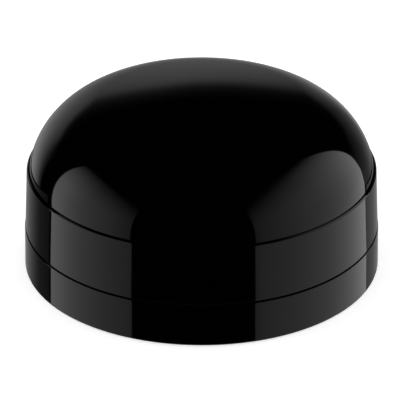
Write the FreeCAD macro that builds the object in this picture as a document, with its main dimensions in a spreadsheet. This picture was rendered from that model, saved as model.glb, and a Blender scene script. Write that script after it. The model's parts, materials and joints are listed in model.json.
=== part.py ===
import FreeCAD, Part
import math
import os
import Sketcher

Vector = FreeCAD.Vector

# Driving dimensions in millimetres, degrees and counts, each with what it measures.
SIZES = [
    ("foot_radius", 45.8, "outside of the lower band where it stands"),
    ("base_draft", 0.18, "how far the lower band leans in over its height"),
    ("base_height", 11.0, "lower band, from the foot to the face that carries the ring"),
    ("base_wall", 2.5, "side wall of the base"),
    ("base_floor", 2.8, "floor of the base"),
    ("foot_fillet", 0.45, "rounding of the foot's edge"),
    ("base_rib_count", 6, "ribs from the connector well to the side wall"),
    ("base_rib_width", 1.6, "thickness of a rib"),
    ("rib_clearance", 0.8, "ribs below the ring's spigot"),
    ("well_radius", 14.0, "inside of the connector well"),
    ("well_depth", 12.5, "depth of the connector well"),
    ("well_wall", 2.4, "side and roof of the connector well"),
    ("slit_height", 0.4, "shadow slit between the two bands"),
    ("slit_depth", 0.8, "how far the slit runs inwards"),
    ("band_step", 0.13, "upper band set in from the lower one"),
    ("ring_draft", 0.62, "how far the upper band leans in over its height"),
    ("rim_lip", 0.42, "width of the rim outside the shadow gap"),
    ("rim_bevel", 0.36, "bevel on the rim's outer edge"),
    ("ring_height", 16.0, "upper band, from the base to the rim"),
    ("ring_flange", 2.4, "thickness of the inner flange"),
    ("flange_margin", 0.4, "flange inside the screw bosses"),
    ("spigot_depth", 4.2, "how far the ring goes down inside the base"),
    ("spigot_wall", 2.6, "thickness of the spigot"),
    ("gap_width", 0.25, "shadow gap between the rim and the dome"),
    ("gap_depth", 0.8, "depth of the shadow gap"),
    ("seat_width", 1.8, "face of the ring that carries the dome"),
    ("dome_wall", 2.2, "wall of the dome"),
    ("shoulder_radius", 21.07, "arc of the dome's shoulder"),
    ("shoulder_drop", 3.69, "how far the shoulder's centre lies below the rim"),
    ("crown_radius", 149.7, "arc of the dome's crown"),
    ("skirt_wall", 2.2, "wall of the dome's skirt"),
    ("skirt_gap", 0.5, "skirt to flange"),
    ("fit_clearance", 0.15, "radial play of skirt and spigot in their bores"),
    ("seat_clearance", 0.1, "play that separate inner pieces are given"),
    ("tip_clearance", 0.2, "hole beyond the end of what goes into it"),
    ("seal_section", 1.4, "width and height of the square seals"),
    ("seal_play", 0.02, "seal to the walls of its groove"),
    ("skirt_seal_lift", 4.0, "seal groove above the skirt's lower edge"),
    ("spigot_seal_lift", 1.2, "seal groove above the spigot's lower edge"),
    ("screw_count", 6, "screws that clamp base, ring and dome"),
    ("screw_boss_gap", 0.55, "screw bosses inside the ring's spigot"),
    ("screw_radius", 1.5, "screw shank"),
    ("screw_play", 0.2, "radial play of a screw in its hole"),
    ("screw_length", 18.0, "shank length"),
    ("screw_head_radius", 2.75, "screw head"),
    ("screw_head_height", 2.0, "height of the head"),
    ("screw_head_recess", 0.8, "heads above the foot"),
    ("screw_socket_radius", 1.3, "corner radius of the hexagon socket"),
    ("screw_socket_depth", 1.1, "depth of the socket"),
    ("screw_boss_radius", 3.4, "boss round a screw"),
    ("dome_boss_roof", 2.7, "plastic beyond a screw's hole in the dome"),
    ("insert_count", 3, "threaded inserts for mounting"),
    ("insert_inset", 7.42, "inserts inside the circle of screws"),
    ("insert_angle", 30.0, "first insert, from the +X direction"),
    ("insert_radius", 2.9, "outside of an insert"),
    ("insert_bore", 1.65, "bore of an insert"),
    ("insert_length", 7.0, "length of an insert"),
    ("insert_recess", 0.2, "insert below the floor's face"),
    ("insert_collar_step", 0.3, "collars proud of an insert's waist"),
    ("insert_boss_wall", 1.7, "plastic round an insert"),
    ("insert_boss_roof", 1.2, "plastic over an insert"),
    ("post_count", 3, "posts that carry the boards"),
    ("post_inset", 9.92, "posts inside the circle of screws"),
    ("post_angle", 90.0, "first post, from the +X direction"),
    ("post_radius", 3.2, "outside of a post"),
    ("stud_radius", 1.2, "stud and screw in the posts and spacers"),
    ("stud_length", 6.0, "stud below the board"),
    ("stud_play", 0.1, "radial play of a stud in its hole"),
    ("vent_gap", 7.6, "vent hole from the well's outside"),
    ("vent_angle", 75.0, "vent hole, from the +X direction"),
    ("vent_hole", 0.9, "radius of the vent hole"),
    ("vent_radius", 3.2, "radius of the vent membrane"),
    ("vent_thickness", 0.3, "membrane thickness"),
    ("thread_radius", 6.0, "outside of the connector's thread"),
    ("shell_wall", 0.95, "wall of the connector shell"),
    ("shell_tip", 1.2, "connector's lower end above the foot"),
    ("thread_bevel", 0.5, "bevel at both ends of the connector's tube"),
    ("shell_flange", 2.0, "thickness of the connector's hexagon flange"),
    ("hexagon_radius", 9.5, "corner radius of the flange and its nut"),
    ("gasket_thickness", 1.0, "gasket under the connector flange"),
    ("gasket_radius", 8.0, "outside of the gasket"),
    ("shank_play", 0.2, "radial play of the connector's shank"),
    ("nut_thickness", 2.2, "nut on the connector's shank"),
    ("shank_reach", 0.3, "shank above its nut"),
    ("sleeve_setback", 0.6, "plastic insert inside the shell's tip"),
    ("sleeve_wall", 0.73, "wall of the insert's sleeve"),
    ("socket_depth", 7.6, "depth of the cavity that the mating plug enters"),
    ("key_width", 1.0, "coding key"),
    ("key_height", 0.8, "coding key above the cavity's wall"),
    ("key_setback", 0.6, "key inside the sleeve's end"),
    ("pin_radius", 0.5, "contact pin"),
    ("pin_circle", 2.6, "radius that the outer pins lie on"),
    ("pin_count", 4, "pins round the centre pin"),
    ("pin_angle", 45.0, "first outer pin, from the +X direction"),
    ("pin_setback", 1.0, "pin tips inside the sleeve's end"),
    ("pin_stickout", 0.8, "pins above the board"),
    ("board_lift", 1.4, "main board above the connector's shank"),
    ("board_thickness", 1.6, "both circuit boards"),
    ("board_gap", 1.62, "main board inside the screw bosses"),
    ("aerial_board_step", 1.4, "upper board smaller than the main board"),
    ("spacer_height", 10.4, "spacers between the boards"),
    ("spacer_radius", 2.9, "corner radius of a hexagon spacer"),
    ("spacer_bore_depth", 5.0, "threaded hole in a spacer's top"),
    ("board_screw_length", 3.6, "shank of the upper board's screws"),
    ("board_screw_head", 2.2, "radius of their heads"),
    ("board_screw_head_height", 1.4, "height of their heads"),
    ("patch_width", 25.0, "ceramic aerial patch"),
    ("patch_height", 4.0, "thickness of the ceramic"),
    ("tape_width", 23.6, "adhesive under the ceramic"),
    ("tape_thickness", 0.3, "thickness of the adhesive"),
    ("electrode_width", 20.4, "silver face of the patch"),
    ("electrode_thickness", 0.12, "thickness of the silver"),
    ("electrode_cut", 3.2, "trimmed corners of the silver"),
    ("feed_offset", 2.1, "feed pin from the patch's centre"),
    ("feed_radius", 0.45, "feed pin"),
    ("feed_head_radius", 1.0, "head of the feed pin"),
    ("feed_head_height", 0.4, "height of that head"),
    ("feed_stickout", 0.7, "feed pin below its board"),
    ("can_width", 16.0, "amplifier's shield can"),
    ("can_height", 2.6, "height of that can"),
    ("can_wall", 0.3, "sheet of the shield cans"),
    ("amplifier_width", 2.6, "amplifier chip"),
    ("amplifier_height", 0.8, "height of the amplifier chip"),
    ("amplifier_x", -4.6, "amplifier chip from the axis"),
    ("filter_width", 3.0, "band filter beside the amplifier chip"),
    ("filter_height", 1.0, "height of the band filter"),
    ("filter_y", 4.4, "band filter from the amplifier chip"),
    ("shield_length", 14.0, "receiver's shield frame along X"),
    ("shield_width", 12.0, "receiver's shield frame along Y"),
    ("shield_height", 2.4, "height of the shield frame"),
    ("shield_x", -12.0, "shield centre from the axis"),
    ("shield_y", 6.5, "shield centre from the axis"),
    ("lid_overlap", 1.5, "how far the lid reaches down the frame"),
    ("receiver_width", 7.0, "receiver chip"),
    ("receiver_height", 1.0, "height of the receiver chip"),
    ("crystal_length", 2.0, "clock crystal"),
    ("crystal_width", 1.6, "clock crystal"),
    ("crystal_height", 0.8, "clock crystal"),
    ("shield_margin", 0.7, "receiver chip and crystal inside their frame"),
    ("processor_width", 8.0, "processor chip"),
    ("processor_height", 1.2, "height of the processor chip"),
    ("processor_x", 11.0, "processor centre from the axis"),
    ("processor_y", 9.0, "processor centre from the axis"),
    ("transceiver_length", 5.0, "data transceiver chip"),
    ("transceiver_width", 4.0, "data transceiver chip"),
    ("transceiver_height", 1.5, "data transceiver chip"),
    ("transceiver_x", 6.0, "transceiver centre from the axis"),
    ("transceiver_y", -9.5, "transceiver centre from the axis"),
    ("inductor_width", 6.0, "power inductor"),
    ("inductor_height", 3.0, "power inductor"),
    ("inductor_fillet", 1.2, "rounded corners of the inductor"),
    ("inductor_x", -5.5, "inductor centre from the axis"),
    ("inductor_y", -9.5, "inductor centre from the axis"),
    ("capacitor_count", 3, "filter capacitors"),
    ("capacitor_radius", 2.5, "filter capacitor"),
    ("capacitor_height", 5.4, "filter capacitor"),
    ("capacitor_pitch", 6.5, "from one capacitor to the next"),
    ("capacitor_gap", 2.0, "capacitors from the inductor"),
    ("cell_radius", 3.4, "backup cell"),
    ("cell_height", 2.1, "backup cell"),
    ("cell_x", 18.0, "backup cell from the axis"),
    ("small_length", 1.6, "ceramic capacitors and chip resistors"),
    ("small_width", 0.8, "ceramic capacitors and chip resistors"),
    ("small_pitch", 1.8, "from one of them to the next"),
    ("small_gap", 0.8, "from them to the chip that they serve"),
    ("ceramic_height", 0.8, "ceramic capacitors"),
    ("ceramic_count", 4, "ceramic capacitors in each of two rows"),
    ("resistor_height", 0.45, "chip resistors"),
    ("resistor_count", 4, "chip resistors in each of two rows"),
    ("coax_x", 5.2, "coaxial sockets from the axis"),
    ("coax_y", 17.0, "coaxial sockets from the axis"),
    ("coax_socket_radius", 1.1, "coaxial socket"),
    ("coax_socket_height", 1.2, "coaxial socket above its board"),
    ("coax_plug_radius", 1.5, "coaxial plug"),
    ("coax_plug_height", 1.5, "coaxial plug above its board"),
    ("coax_cable_radius", 0.6, "coaxial lead"),
    ("coax_reach", 9.0, "how far the lead swings out"),
    ("coax_bend", 3.0, "bend of the lead, at its centre line"),
]


class Size:
    """A length with the sheet expression behind it, so that a sum of sizes stays bound to the sheet."""

    def __init__(self, number, text):
        self.number = number
        self.text = text

    def __add__(self, other):
        return combine(self, "+", other, self.number + number_of(other))

    def __sub__(self, other):
        return combine(self, "-", other, self.number - number_of(other))

    def __mul__(self, other):
        return combine(self, "*", other, self.number * number_of(other))

    def __truediv__(self, other):
        return combine(self, "/", other, self.number / number_of(other))

    def __neg__(self):
        return Size(-self.number, "(-1 * %s)" % self.text)


def number_of(value):
    return value.number if isinstance(value, Size) else value


def text_of(value):
    return value.text if isinstance(value, Size) else repr(value)


def combine(left, sign, right, number):
    return Size(number, "(%s %s %s)" % (text_of(left), sign, text_of(right)))


def root(size):
    return Size(math.sqrt(size.number), "sqrt(%s)" % size.text)


def square(size):
    return size * size


def across(length, angle):
    """The X part of a length that points at an angle."""
    text = "(%s * cos(%s * 1 deg))" % (length.text, angle.text)
    return Size(length.number * math.cos(math.radians(angle.number)), text)


def along(length, angle):
    """The Y part of a length that points at an angle."""
    text = "(%s * sin(%s * 1 deg))" % (length.text, angle.text)
    return Size(length.number * math.sin(math.radians(angle.number)), text)


ZERO = Size(0.0, "0")


class Sizes:
    """The sheet's values by name, and the levels and radii that several pieces share."""

    def __init__(self, document):
        sheet = document.addObject("Spreadsheet::Sheet", "Sizes")
        for row, (alias, value, note) in enumerate(SIZES, start=1):
            sheet.set("A%d" % row, alias)
            sheet.set("B%d" % row, str(value))
            sheet.set("C%d" % row, note)
            sheet.setAlias("B%d" % row, alias)
        document.recompute()
        for alias, _, _ in SIZES:
            setattr(self, alias, Size(float(sheet.get(alias)), "Sizes." + alias))
        self.set_housing()
        self.set_fasteners()
        self.set_dome()
        self.set_connector()
        self.set_boards()

    def set_housing(self):
        """Radii from the foot inwards, and levels from the foot upwards."""
        self.base_top_radius = self.foot_radius - self.base_draft
        self.base_bore = self.base_top_radius - self.base_wall
        self.well_outside = self.well_radius + self.well_wall
        self.well_roof = self.well_depth + self.well_wall
        self.ring_foot_radius = self.base_top_radius - self.band_step
        self.ring_rim_radius = self.ring_foot_radius - self.ring_draft
        self.lip_radius = self.ring_rim_radius - self.rim_lip
        self.dome_radius = self.lip_radius - self.gap_width
        self.ring_bore = self.dome_radius - self.seat_width
        self.ring_foot = self.base_height + self.slit_height
        self.rim = self.base_height + self.ring_height
        self.dome_seat = self.rim - self.gap_depth
        self.flange_top = self.base_height + self.ring_flange
        self.spigot_radius = self.base_bore - self.fit_clearance
        self.spigot_inside = self.spigot_radius - self.spigot_wall
        self.spigot_foot = self.base_height - self.spigot_depth
        self.spigot_seal = self.spigot_foot + self.spigot_seal_lift
        self.skirt_radius = self.ring_bore - self.fit_clearance
        self.skirt_inside = self.skirt_radius - self.skirt_wall
        self.skirt_foot = self.flange_top + self.skirt_gap
        self.skirt_seal = self.skirt_foot + self.skirt_seal_lift

    def set_fasteners(self):
        """Screws stand inside the spigot, and inserts and posts inside the circle of screws."""
        self.screw_circle = self.spigot_inside - self.screw_boss_gap - self.screw_boss_radius
        self.screw_hole = self.screw_radius + self.screw_play
        self.screw_seat = self.screw_head_recess + self.screw_head_height
        self.screw_end = self.screw_seat + self.screw_length
        self.boss_inside = self.screw_circle - self.screw_boss_radius
        self.flange_reach = self.boss_inside - self.flange_margin
        insert_circle = self.screw_circle - self.insert_inset
        self.insert_x = across(insert_circle, self.insert_angle)
        self.insert_y = along(insert_circle, self.insert_angle)
        self.insert_collar_radius = self.insert_radius + self.insert_collar_step
        self.insert_top = self.insert_recess + self.insert_length
        post_circle = self.screw_circle - self.post_inset
        self.post_x = across(post_circle, self.post_angle)
        self.post_y = along(post_circle, self.post_angle)
        self.stud_hole = self.stud_radius + self.stud_play
        vent_circle = self.well_outside + self.vent_gap
        self.vent_x = across(vent_circle, self.vent_angle)
        self.vent_y = along(vent_circle, self.vent_angle)

    def set_dome(self):
        """Shoulder arc through the rim's level, and a crown arc tangent to it, centred on the axis."""
        self.shoulder_z = self.rim - self.shoulder_drop
        half_chord = root(square(self.shoulder_radius) - square(self.shoulder_drop))
        self.shoulder_x = self.dome_radius - half_chord
        reach = self.crown_radius - self.shoulder_radius
        self.lean_x = self.shoulder_x / reach
        self.lean_z = root(square(reach) - square(self.shoulder_x)) / reach
        self.crown_z = self.shoulder_z - reach * self.lean_z
        self.dome_top = self.crown_z + self.crown_radius

    def set_connector(self):
        self.shell_bore = self.thread_radius - self.shell_wall
        self.socket_radius = self.shell_bore - self.seal_play - self.sleeve_wall
        self.shank_hole = self.thread_radius + self.shank_play
        self.shell_flange_top = self.well_depth - self.gasket_thickness
        self.nut_top = self.well_roof + self.nut_thickness
        self.shank_top = self.nut_top + self.shank_reach
        self.sleeve_tip = self.shell_tip + self.sleeve_setback
        self.socket_floor = self.sleeve_tip + self.socket_depth
        self.pin_x = across(self.pin_circle, self.pin_angle)
        self.pin_y = along(self.pin_circle, self.pin_angle)

    def set_boards(self):
        self.main_board_radius = self.boss_inside - self.board_gap
        self.aerial_board_radius = self.main_board_radius - self.aerial_board_step
        self.main_board_foot = self.shank_top + self.board_lift
        self.main_board_top = self.main_board_foot + self.board_thickness
        self.aerial_board_foot = self.main_board_top + self.spacer_height
        self.aerial_board_top = self.aerial_board_foot + self.board_thickness
        self.patch_foot = self.aerial_board_top + self.tape_thickness
        self.patch_top = self.patch_foot + self.patch_height
        self.electrode_top = self.patch_top + self.electrode_thickness


def bind(thing, path, size):
    thing.setExpression(path, size.text)


def plane(body, role):
    return [feature for feature in body.Origin.OriginFeatures if feature.Role == role][0]


def new_body(document, node):
    body = document.addObject("PartDesign::Body", node)
    body.Label = node
    return body


def new_sketch(body, name, role, lift):
    """A sketch on one of the body's planes, lifted along that plane's normal."""
    sketch = body.newObject("Sketcher::SketchObject", name)
    sketch.AttachmentSupport = (plane(body, role), [""])
    sketch.MapMode = "FlatFace"
    sketch.AttachmentOffset = FreeCAD.Placement(Vector(0, 0, lift.number), FreeCAD.Rotation())
    bind(sketch, "AttachmentOffset.Base.z", lift)
    return sketch


def fix_point(sketch, geometry, end, x, y):
    """Hold a point at its place from the sketch's origin."""
    for kind, value in (("DistanceX", x), ("DistanceY", y)):
        index = sketch.addConstraint(Sketcher.Constraint(kind, -1, 1, geometry, end, value.number))
        bind(sketch, "Constraints[%d]" % index, value)


def fix_radius(sketch, geometry, radius):
    index = sketch.addConstraint(Sketcher.Constraint("Radius", geometry, radius.number))
    bind(sketch, "Constraints[%d]" % index, radius)


class Bend:
    """An arc from one corner of an outline to the next."""

    def __init__(self, centre_x, centre_y, radius, turns_left):
        self.centre = Vector(centre_x.number, centre_y.number, 0)
        self.radius = radius
        self.turns_left = turns_left

    def curve(self, start, end):
        first, last = (start, end) if self.turns_left else (end, start)
        from_angle = math.atan2(first.y - self.centre.y, first.x - self.centre.x)
        to_angle = math.atan2(last.y - self.centre.y, last.x - self.centre.x)
        circle = Part.Circle(self.centre, Vector(0, 0, 1), self.radius.number)
        return Part.ArcOfCircle(circle, from_angle, to_angle)


def draw(body, name, corners, role="XZ_Plane", lift=ZERO, closed=True):
    """An outline through its corners: (x, y), or (x, y, bend) where the next side is an arc."""
    sketch = new_sketch(body, name, role, lift)
    points = [Vector(corner[0].number, corner[1].number, 0) for corner in corners]
    sides = len(corners) if closed else len(corners) - 1
    ends = []
    for index in range(sides):
        start = points[index]
        end = points[(index + 1) % len(points)]
        bend = corners[index][2] if len(corners[index]) > 2 else None
        curve = bend.curve(start, end) if bend else Part.LineSegment(start, end)
        sketch.addGeometry(curve, False)
        ends.append((1, 2) if bend is None or bend.turns_left else (2, 1))
    for index in range(sides):
        following = (index + 1) % len(corners)
        if following < sides:
            sketch.addConstraint(
                Sketcher.Constraint("Coincident", index, ends[index][1], following, ends[following][0]))
        else:
            fix_point(sketch, index, ends[index][1], corners[following][0], corners[following][1])
        fix_point(sketch, index, ends[index][0], corners[index][0], corners[index][1])
        if len(corners[index]) > 2:
            fix_radius(sketch, index, corners[index][2].radius)
    return sketch


def draw_circle(body, name, x, y, radius, role="XY_Plane", lift=ZERO):
    sketch = new_sketch(body, name, role, lift)
    centre = Vector(x.number, y.number, 0)
    sketch.addGeometry(Part.Circle(centre, Vector(0, 0, 1), radius.number), False)
    fix_point(sketch, 0, 3, x, y)
    fix_radius(sketch, 0, radius)
    return sketch


def hexagon(x, y, corner_radius):
    """The corners of a hexagon, with two of them on its own X line."""
    corners = []
    for step in range(6):
        angle = Size(60.0 * step, repr(60.0 * step))
        corners.append((x + across(corner_radius, angle), y + along(corner_radius, angle)))
    return corners


def rectangle(low_x, low_y, high_x, high_y):
    return [(low_x, low_y), (high_x, low_y), (high_x, high_y), (low_x, high_y)]


def turn(body, sketch, name, kind="PartDesign::Revolution"):
    feature = body.newObject(kind, name)
    feature.Profile = sketch
    feature.ReferenceAxis = (sketch, ["V_Axis"])
    feature.Angle = 360
    body.Tip = feature
    return feature


def pad(body, sketch, name, length):
    feature = body.newObject("PartDesign::Pad", name)
    feature.Profile = sketch
    feature.Length = length.number
    bind(feature, "Length", length)
    body.Tip = feature
    return feature


def cut_upwards(body, sketch, name, length):
    """Cut from the sketch along its own normal, and make sure that something went."""
    document = body.Document
    document.recompute()
    before = body.Shape.Volume
    feature = body.newObject("PartDesign::Pocket", name)
    feature.Profile = sketch
    feature.Reversed = True
    feature.Length = length.number
    bind(feature, "Length", length)
    body.Tip = feature
    document.recompute()
    must_be_less(body, name, before)
    return feature


def cut_round(body, sketch, name):
    """Cut a groove round the axis, and make sure that something went."""
    body.Document.recompute()
    before = body.Shape.Volume
    feature = turn(body, sketch, name, "PartDesign::Groove")
    body.Document.recompute()
    must_be_less(body, name, before)
    return feature


def must_be_less(body, name, before):
    if body.Shape.Volume >= before:
        raise RuntimeError("%s cuts nothing from %s" % (name, body.Label))


def repeat_round(body, name, originals, count):
    feature = body.newObject("PartDesign::PolarPattern", name)
    feature.Originals = originals
    feature.Axis = (plane(body, "Z_Axis"), [""])
    feature.Angle = 360
    feature.Occurrences = int(count.number)
    bind(feature, "Occurrences", count)
    body.Tip = feature
    return feature


def repeat_along(body, name, original, axis, span, count):
    feature = body.newObject("PartDesign::LinearPattern", name)
    feature.Originals = [original]
    feature.Direction = (plane(body, axis), [""])
    feature.Length = span.number
    bind(feature, "Length", span)
    feature.Occurrences = int(count.number)
    bind(feature, "Occurrences", count)
    body.Tip = feature
    return feature


def round_edge(body, name, radius, edge_radius, level):
    """Fillet the circular edge of one radius at one level."""
    body.Document.recompute()
    tolerance = 1e-4
    found = []
    for index, edge in enumerate(body.Shape.Edges, start=1):
        curve = edge.Curve
        if not isinstance(curve, Part.Circle):
            continue
        same_radius = abs(curve.Radius - edge_radius.number) < tolerance
        if same_radius and abs(curve.Center.z - level.number) < tolerance:
            found.append("Edge%d" % index)
    base = body.Tip
    feature = body.newObject("PartDesign::Fillet", name)
    feature.Base = (base, found)
    feature.Radius = radius.number
    bind(feature, "Radius", radius)
    body.Tip = feature
    return feature


def place(thing, x, y, z):
    for axis, value in (("x", x), ("y", y), ("z", z)):
        bind(thing, "Placement.Base." + axis, value)


def make_box(document, node, low, span):
    box = document.addObject("Part::Box", node)
    box.Label = node
    for side, value in zip(("Length", "Width", "Height"), span):
        bind(box, side, value)
    place(box, low[0], low[1], low[2])
    return box


def make_chip(document, node, centre, span, foot):
    """A block that stands on a level, centred on a point."""
    low = (centre[0] - span[0] / 2, centre[1] - span[1] / 2, foot)
    return make_box(document, node, low, span)


def make_cylinder(document, node, centre, foot, radius, height):
    cylinder = document.addObject("Part::Cylinder", node)
    cylinder.Label = node
    bind(cylinder, "Radius", radius)
    bind(cylinder, "Height", height)
    place(cylinder, centre[0], centre[1], foot)
    return cylinder


def make_cut(document, node, base, tool):
    cut = document.addObject("Part::Cut", node)
    cut.Label = node
    cut.Base = base
    cut.Tool = tool
    return cut


def make_radome(document, size):
    """The moulded dome: one wall of two tangent arcs, a skirt with its seal groove, and screw bosses."""
    body = new_body(document, "radome")
    shoulder_inside = size.shoulder_radius - size.dome_wall
    crown_inside = size.crown_radius - size.dome_wall
    edge_drop = size.dome_seat - size.shoulder_z
    edge_x = size.shoulder_x + root(square(size.shoulder_radius) - square(edge_drop))
    inside_span = size.skirt_inside - size.shoulder_x
    inside_z = size.shoulder_z + root(square(shoulder_inside) - square(inside_span))
    outer_shoulder = Bend(size.shoulder_x, size.shoulder_z, size.shoulder_radius, True)
    outer_crown = Bend(ZERO, size.crown_z, size.crown_radius, True)
    inner_crown = Bend(ZERO, size.crown_z, crown_inside, False)
    inner_shoulder = Bend(size.shoulder_x, size.shoulder_z, shoulder_inside, False)
    section = draw(body, "dome_section", [
        (size.skirt_inside, size.skirt_foot),
        (size.skirt_radius, size.skirt_foot),
        (size.skirt_radius, size.dome_seat),
        (edge_x, size.dome_seat, outer_shoulder),
        (*meeting(size, size.shoulder_radius), outer_crown),
        (ZERO, size.dome_top),
        (ZERO, size.dome_top - size.dome_wall, inner_crown),
        (*meeting(size, shoulder_inside), inner_shoulder),
        (size.skirt_inside, inside_z),
    ])
    turn(body, section, "dome_wall")
    boss_foot = size.flange_top + size.seat_clearance
    pilot_length = size.screw_end + size.tip_clearance - boss_foot
    boss_height = pilot_length + size.dome_boss_roof
    outline = draw_circle(body, "boss_outline", size.screw_circle, ZERO, size.screw_boss_radius,
                          lift=boss_foot)
    boss = pad(body, outline, "screw_boss", boss_height)
    web_end = size.skirt_inside + size.skirt_wall / 2
    web_outline = draw(body, "web_outline", rectangle(
        size.screw_circle, -size.screw_boss_radius, web_end, size.screw_boss_radius),
        role="XY_Plane", lift=size.skirt_foot)
    web = pad(body, web_outline, "boss_web", boss_height - (size.skirt_foot - boss_foot))
    repeat_round(body, "screw_bosses", [boss, web], size.screw_count)
    pilot_outline = draw_circle(body, "pilot_outline", size.screw_circle, ZERO,
                                size.screw_radius + size.seal_play, lift=boss_foot)
    pilot = cut_upwards(body, pilot_outline, "screw_pilot", pilot_length)
    repeat_round(body, "screw_pilots", [pilot], size.screw_count)
    cut_seal_groove(body, size, size.skirt_radius, size.ring_bore, size.skirt_seal)
    return body


def meeting(size, radius):
    """Where a shoulder arc of one radius runs into the crown."""
    return size.shoulder_x + radius * size.lean_x, size.shoulder_z + radius * size.lean_z


def cut_seal_groove(body, size, radius, bore, foot):
    """A square groove in a round wall, for a seal that reaches the bore outside that wall."""
    groove = draw(body, "groove_section", rectangle(
        bore - size.seal_section, foot, radius + size.seal_section, foot + size.seal_section))
    cut_round(body, groove, "seal_groove")


def make_seal(document, size, node, bore, foot):
    """A square ring that fills its groove up to the bore."""
    body = new_body(document, node)
    section = draw(body, "seal_section", rectangle(
        bore - size.seal_section + size.seal_play, foot + size.seal_play,
        bore - size.seal_play, foot + size.seal_section - size.seal_play))
    turn(body, section, "seal_ring")
    return body


def make_ring(document, size):
    """The upper band: a drafted wall with a rim lip, the dome's seat, an inner flange and a spigot."""
    body = new_body(document, "housing_ring")
    slit_root = size.ring_foot_radius - size.slit_depth
    section = draw(body, "ring_section", [
        (size.spigot_inside, size.spigot_foot),
        (size.spigot_radius, size.spigot_foot),
        (size.spigot_radius, size.base_height),
        (slit_root, size.base_height),
        (slit_root, size.ring_foot),
        (size.ring_foot_radius, size.ring_foot),
        (size.ring_rim_radius, size.rim - size.rim_bevel),
        (size.ring_rim_radius - size.rim_bevel, size.rim),
        (size.lip_radius, size.rim),
        (size.lip_radius, size.dome_seat),
        (size.ring_bore, size.dome_seat),
        (size.ring_bore, size.flange_top),
        (size.flange_reach, size.flange_top),
        (size.flange_reach, size.base_height),
        (size.spigot_inside, size.base_height),
    ])
    turn(body, section, "ring_wall")
    outline = draw_circle(body, "hole_outline", size.screw_circle, ZERO, size.screw_hole,
                          lift=size.base_height)
    hole = cut_upwards(body, outline, "screw_hole", size.ring_flange)
    repeat_round(body, "screw_holes", [hole], size.screw_count)
    cut_seal_groove(body, size, size.spigot_radius, size.base_bore, size.spigot_seal)
    return body


def make_base(document, size):
    """The base: a drafted tray with a connector well, ribs, and bosses for screws, inserts and posts."""
    body = new_body(document, "base_housing")
    section = draw(body, "base_section", [
        (size.well_radius, ZERO),
        (size.foot_radius, ZERO),
        (size.base_top_radius, size.base_height),
        (size.base_bore, size.base_height),
        (size.base_bore, size.base_floor),
        (size.well_outside, size.base_floor),
        (size.well_outside, size.well_roof),
        (size.shank_hole, size.well_roof),
        (size.shank_hole, size.well_depth),
        (size.well_radius, size.well_depth),
    ])
    turn(body, section, "tray")
    root_level = size.base_floor / 2
    rib_start = size.well_radius + size.well_wall / 2
    rib_end = size.base_bore + size.base_wall / 2
    rib_outline = draw(body, "rib_outline", rectangle(
        rib_start, -size.base_rib_width / 2, rib_end, size.base_rib_width / 2),
        role="XY_Plane", lift=root_level)
    rib = pad(body, rib_outline, "rib", size.spigot_foot - size.rib_clearance - root_level)
    repeat_round(body, "ribs", [rib], size.base_rib_count)
    raise_bosses(body, "screw", size.screw_circle, ZERO, size.screw_boss_radius, root_level,
                 size.base_height, size.screw_count)
    insert_hole = size.insert_collar_radius + size.seal_play
    insert_depth = size.insert_top + size.tip_clearance
    raise_bosses(body, "insert", size.insert_x, size.insert_y, insert_hole + size.insert_boss_wall,
                 root_level, insert_depth + size.insert_boss_roof, size.insert_count)
    raise_bosses(body, "post", size.post_x, size.post_y, size.post_radius, root_level,
                 size.main_board_foot, size.post_count)
    head_radius = size.screw_head_radius + size.fit_clearance
    sink_holes(body, "screw_head", size.screw_circle, ZERO, head_radius, ZERO, size.screw_seat,
               size.screw_count)
    sink_holes(body, "screw", size.screw_circle, ZERO, size.screw_hole, size.screw_seat,
               size.base_height, size.screw_count)
    sink_holes(body, "insert", size.insert_x, size.insert_y, insert_hole, ZERO, insert_depth,
               size.insert_count)
    stud_foot = size.main_board_foot - size.stud_length - size.tip_clearance
    sink_holes(body, "stud", size.post_x, size.post_y, size.stud_hole, stud_foot,
               size.main_board_foot, size.post_count)
    vent_outline = draw_circle(body, "vent_outline", size.vent_x, size.vent_y, size.vent_hole)
    cut_upwards(body, vent_outline, "vent_hole", size.base_floor)
    round_edge(body, "foot_rounding", size.foot_fillet, size.foot_radius, ZERO)
    return body


def raise_bosses(body, name, x, y, radius, foot, top, count):
    """Round bosses between two levels, repeated round the axis."""
    outline = draw_circle(body, name + "_boss_outline", x, y, radius, lift=foot)
    boss = pad(body, outline, name + "_boss", top - foot)
    repeat_round(body, name + "_bosses", [boss], count)


def sink_holes(body, name, x, y, radius, foot, top, count):
    """Round holes between two levels, repeated round the axis."""
    outline = draw_circle(body, name + "_hole_outline", x, y, radius, lift=foot)
    hole = cut_upwards(body, outline, name + "_hole", top - foot)
    repeat_round(body, name + "_holes", [hole], count)


def make_housing_screws(document, size):
    """Socket screws, each with its head up inside the base."""
    body = new_body(document, "housing_screws")
    head_outline = draw_circle(body, "head_outline", size.screw_circle, ZERO, size.screw_head_radius,
                               lift=size.screw_head_recess)
    head = pad(body, head_outline, "head", size.screw_head_height)
    shank_outline = draw_circle(body, "shank_outline", size.screw_circle, ZERO, size.screw_radius,
                                lift=size.screw_seat)
    shank = pad(body, shank_outline, "shank", size.screw_length)
    socket_outline = draw(body, "socket_outline",
                          hexagon(size.screw_circle, ZERO, size.screw_socket_radius),
                          role="XY_Plane", lift=size.screw_head_recess)
    socket = cut_upwards(body, socket_outline, "socket", size.screw_socket_depth)
    repeat_round(body, "screws", [head, shank, socket], size.screw_count)
    return body


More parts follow.
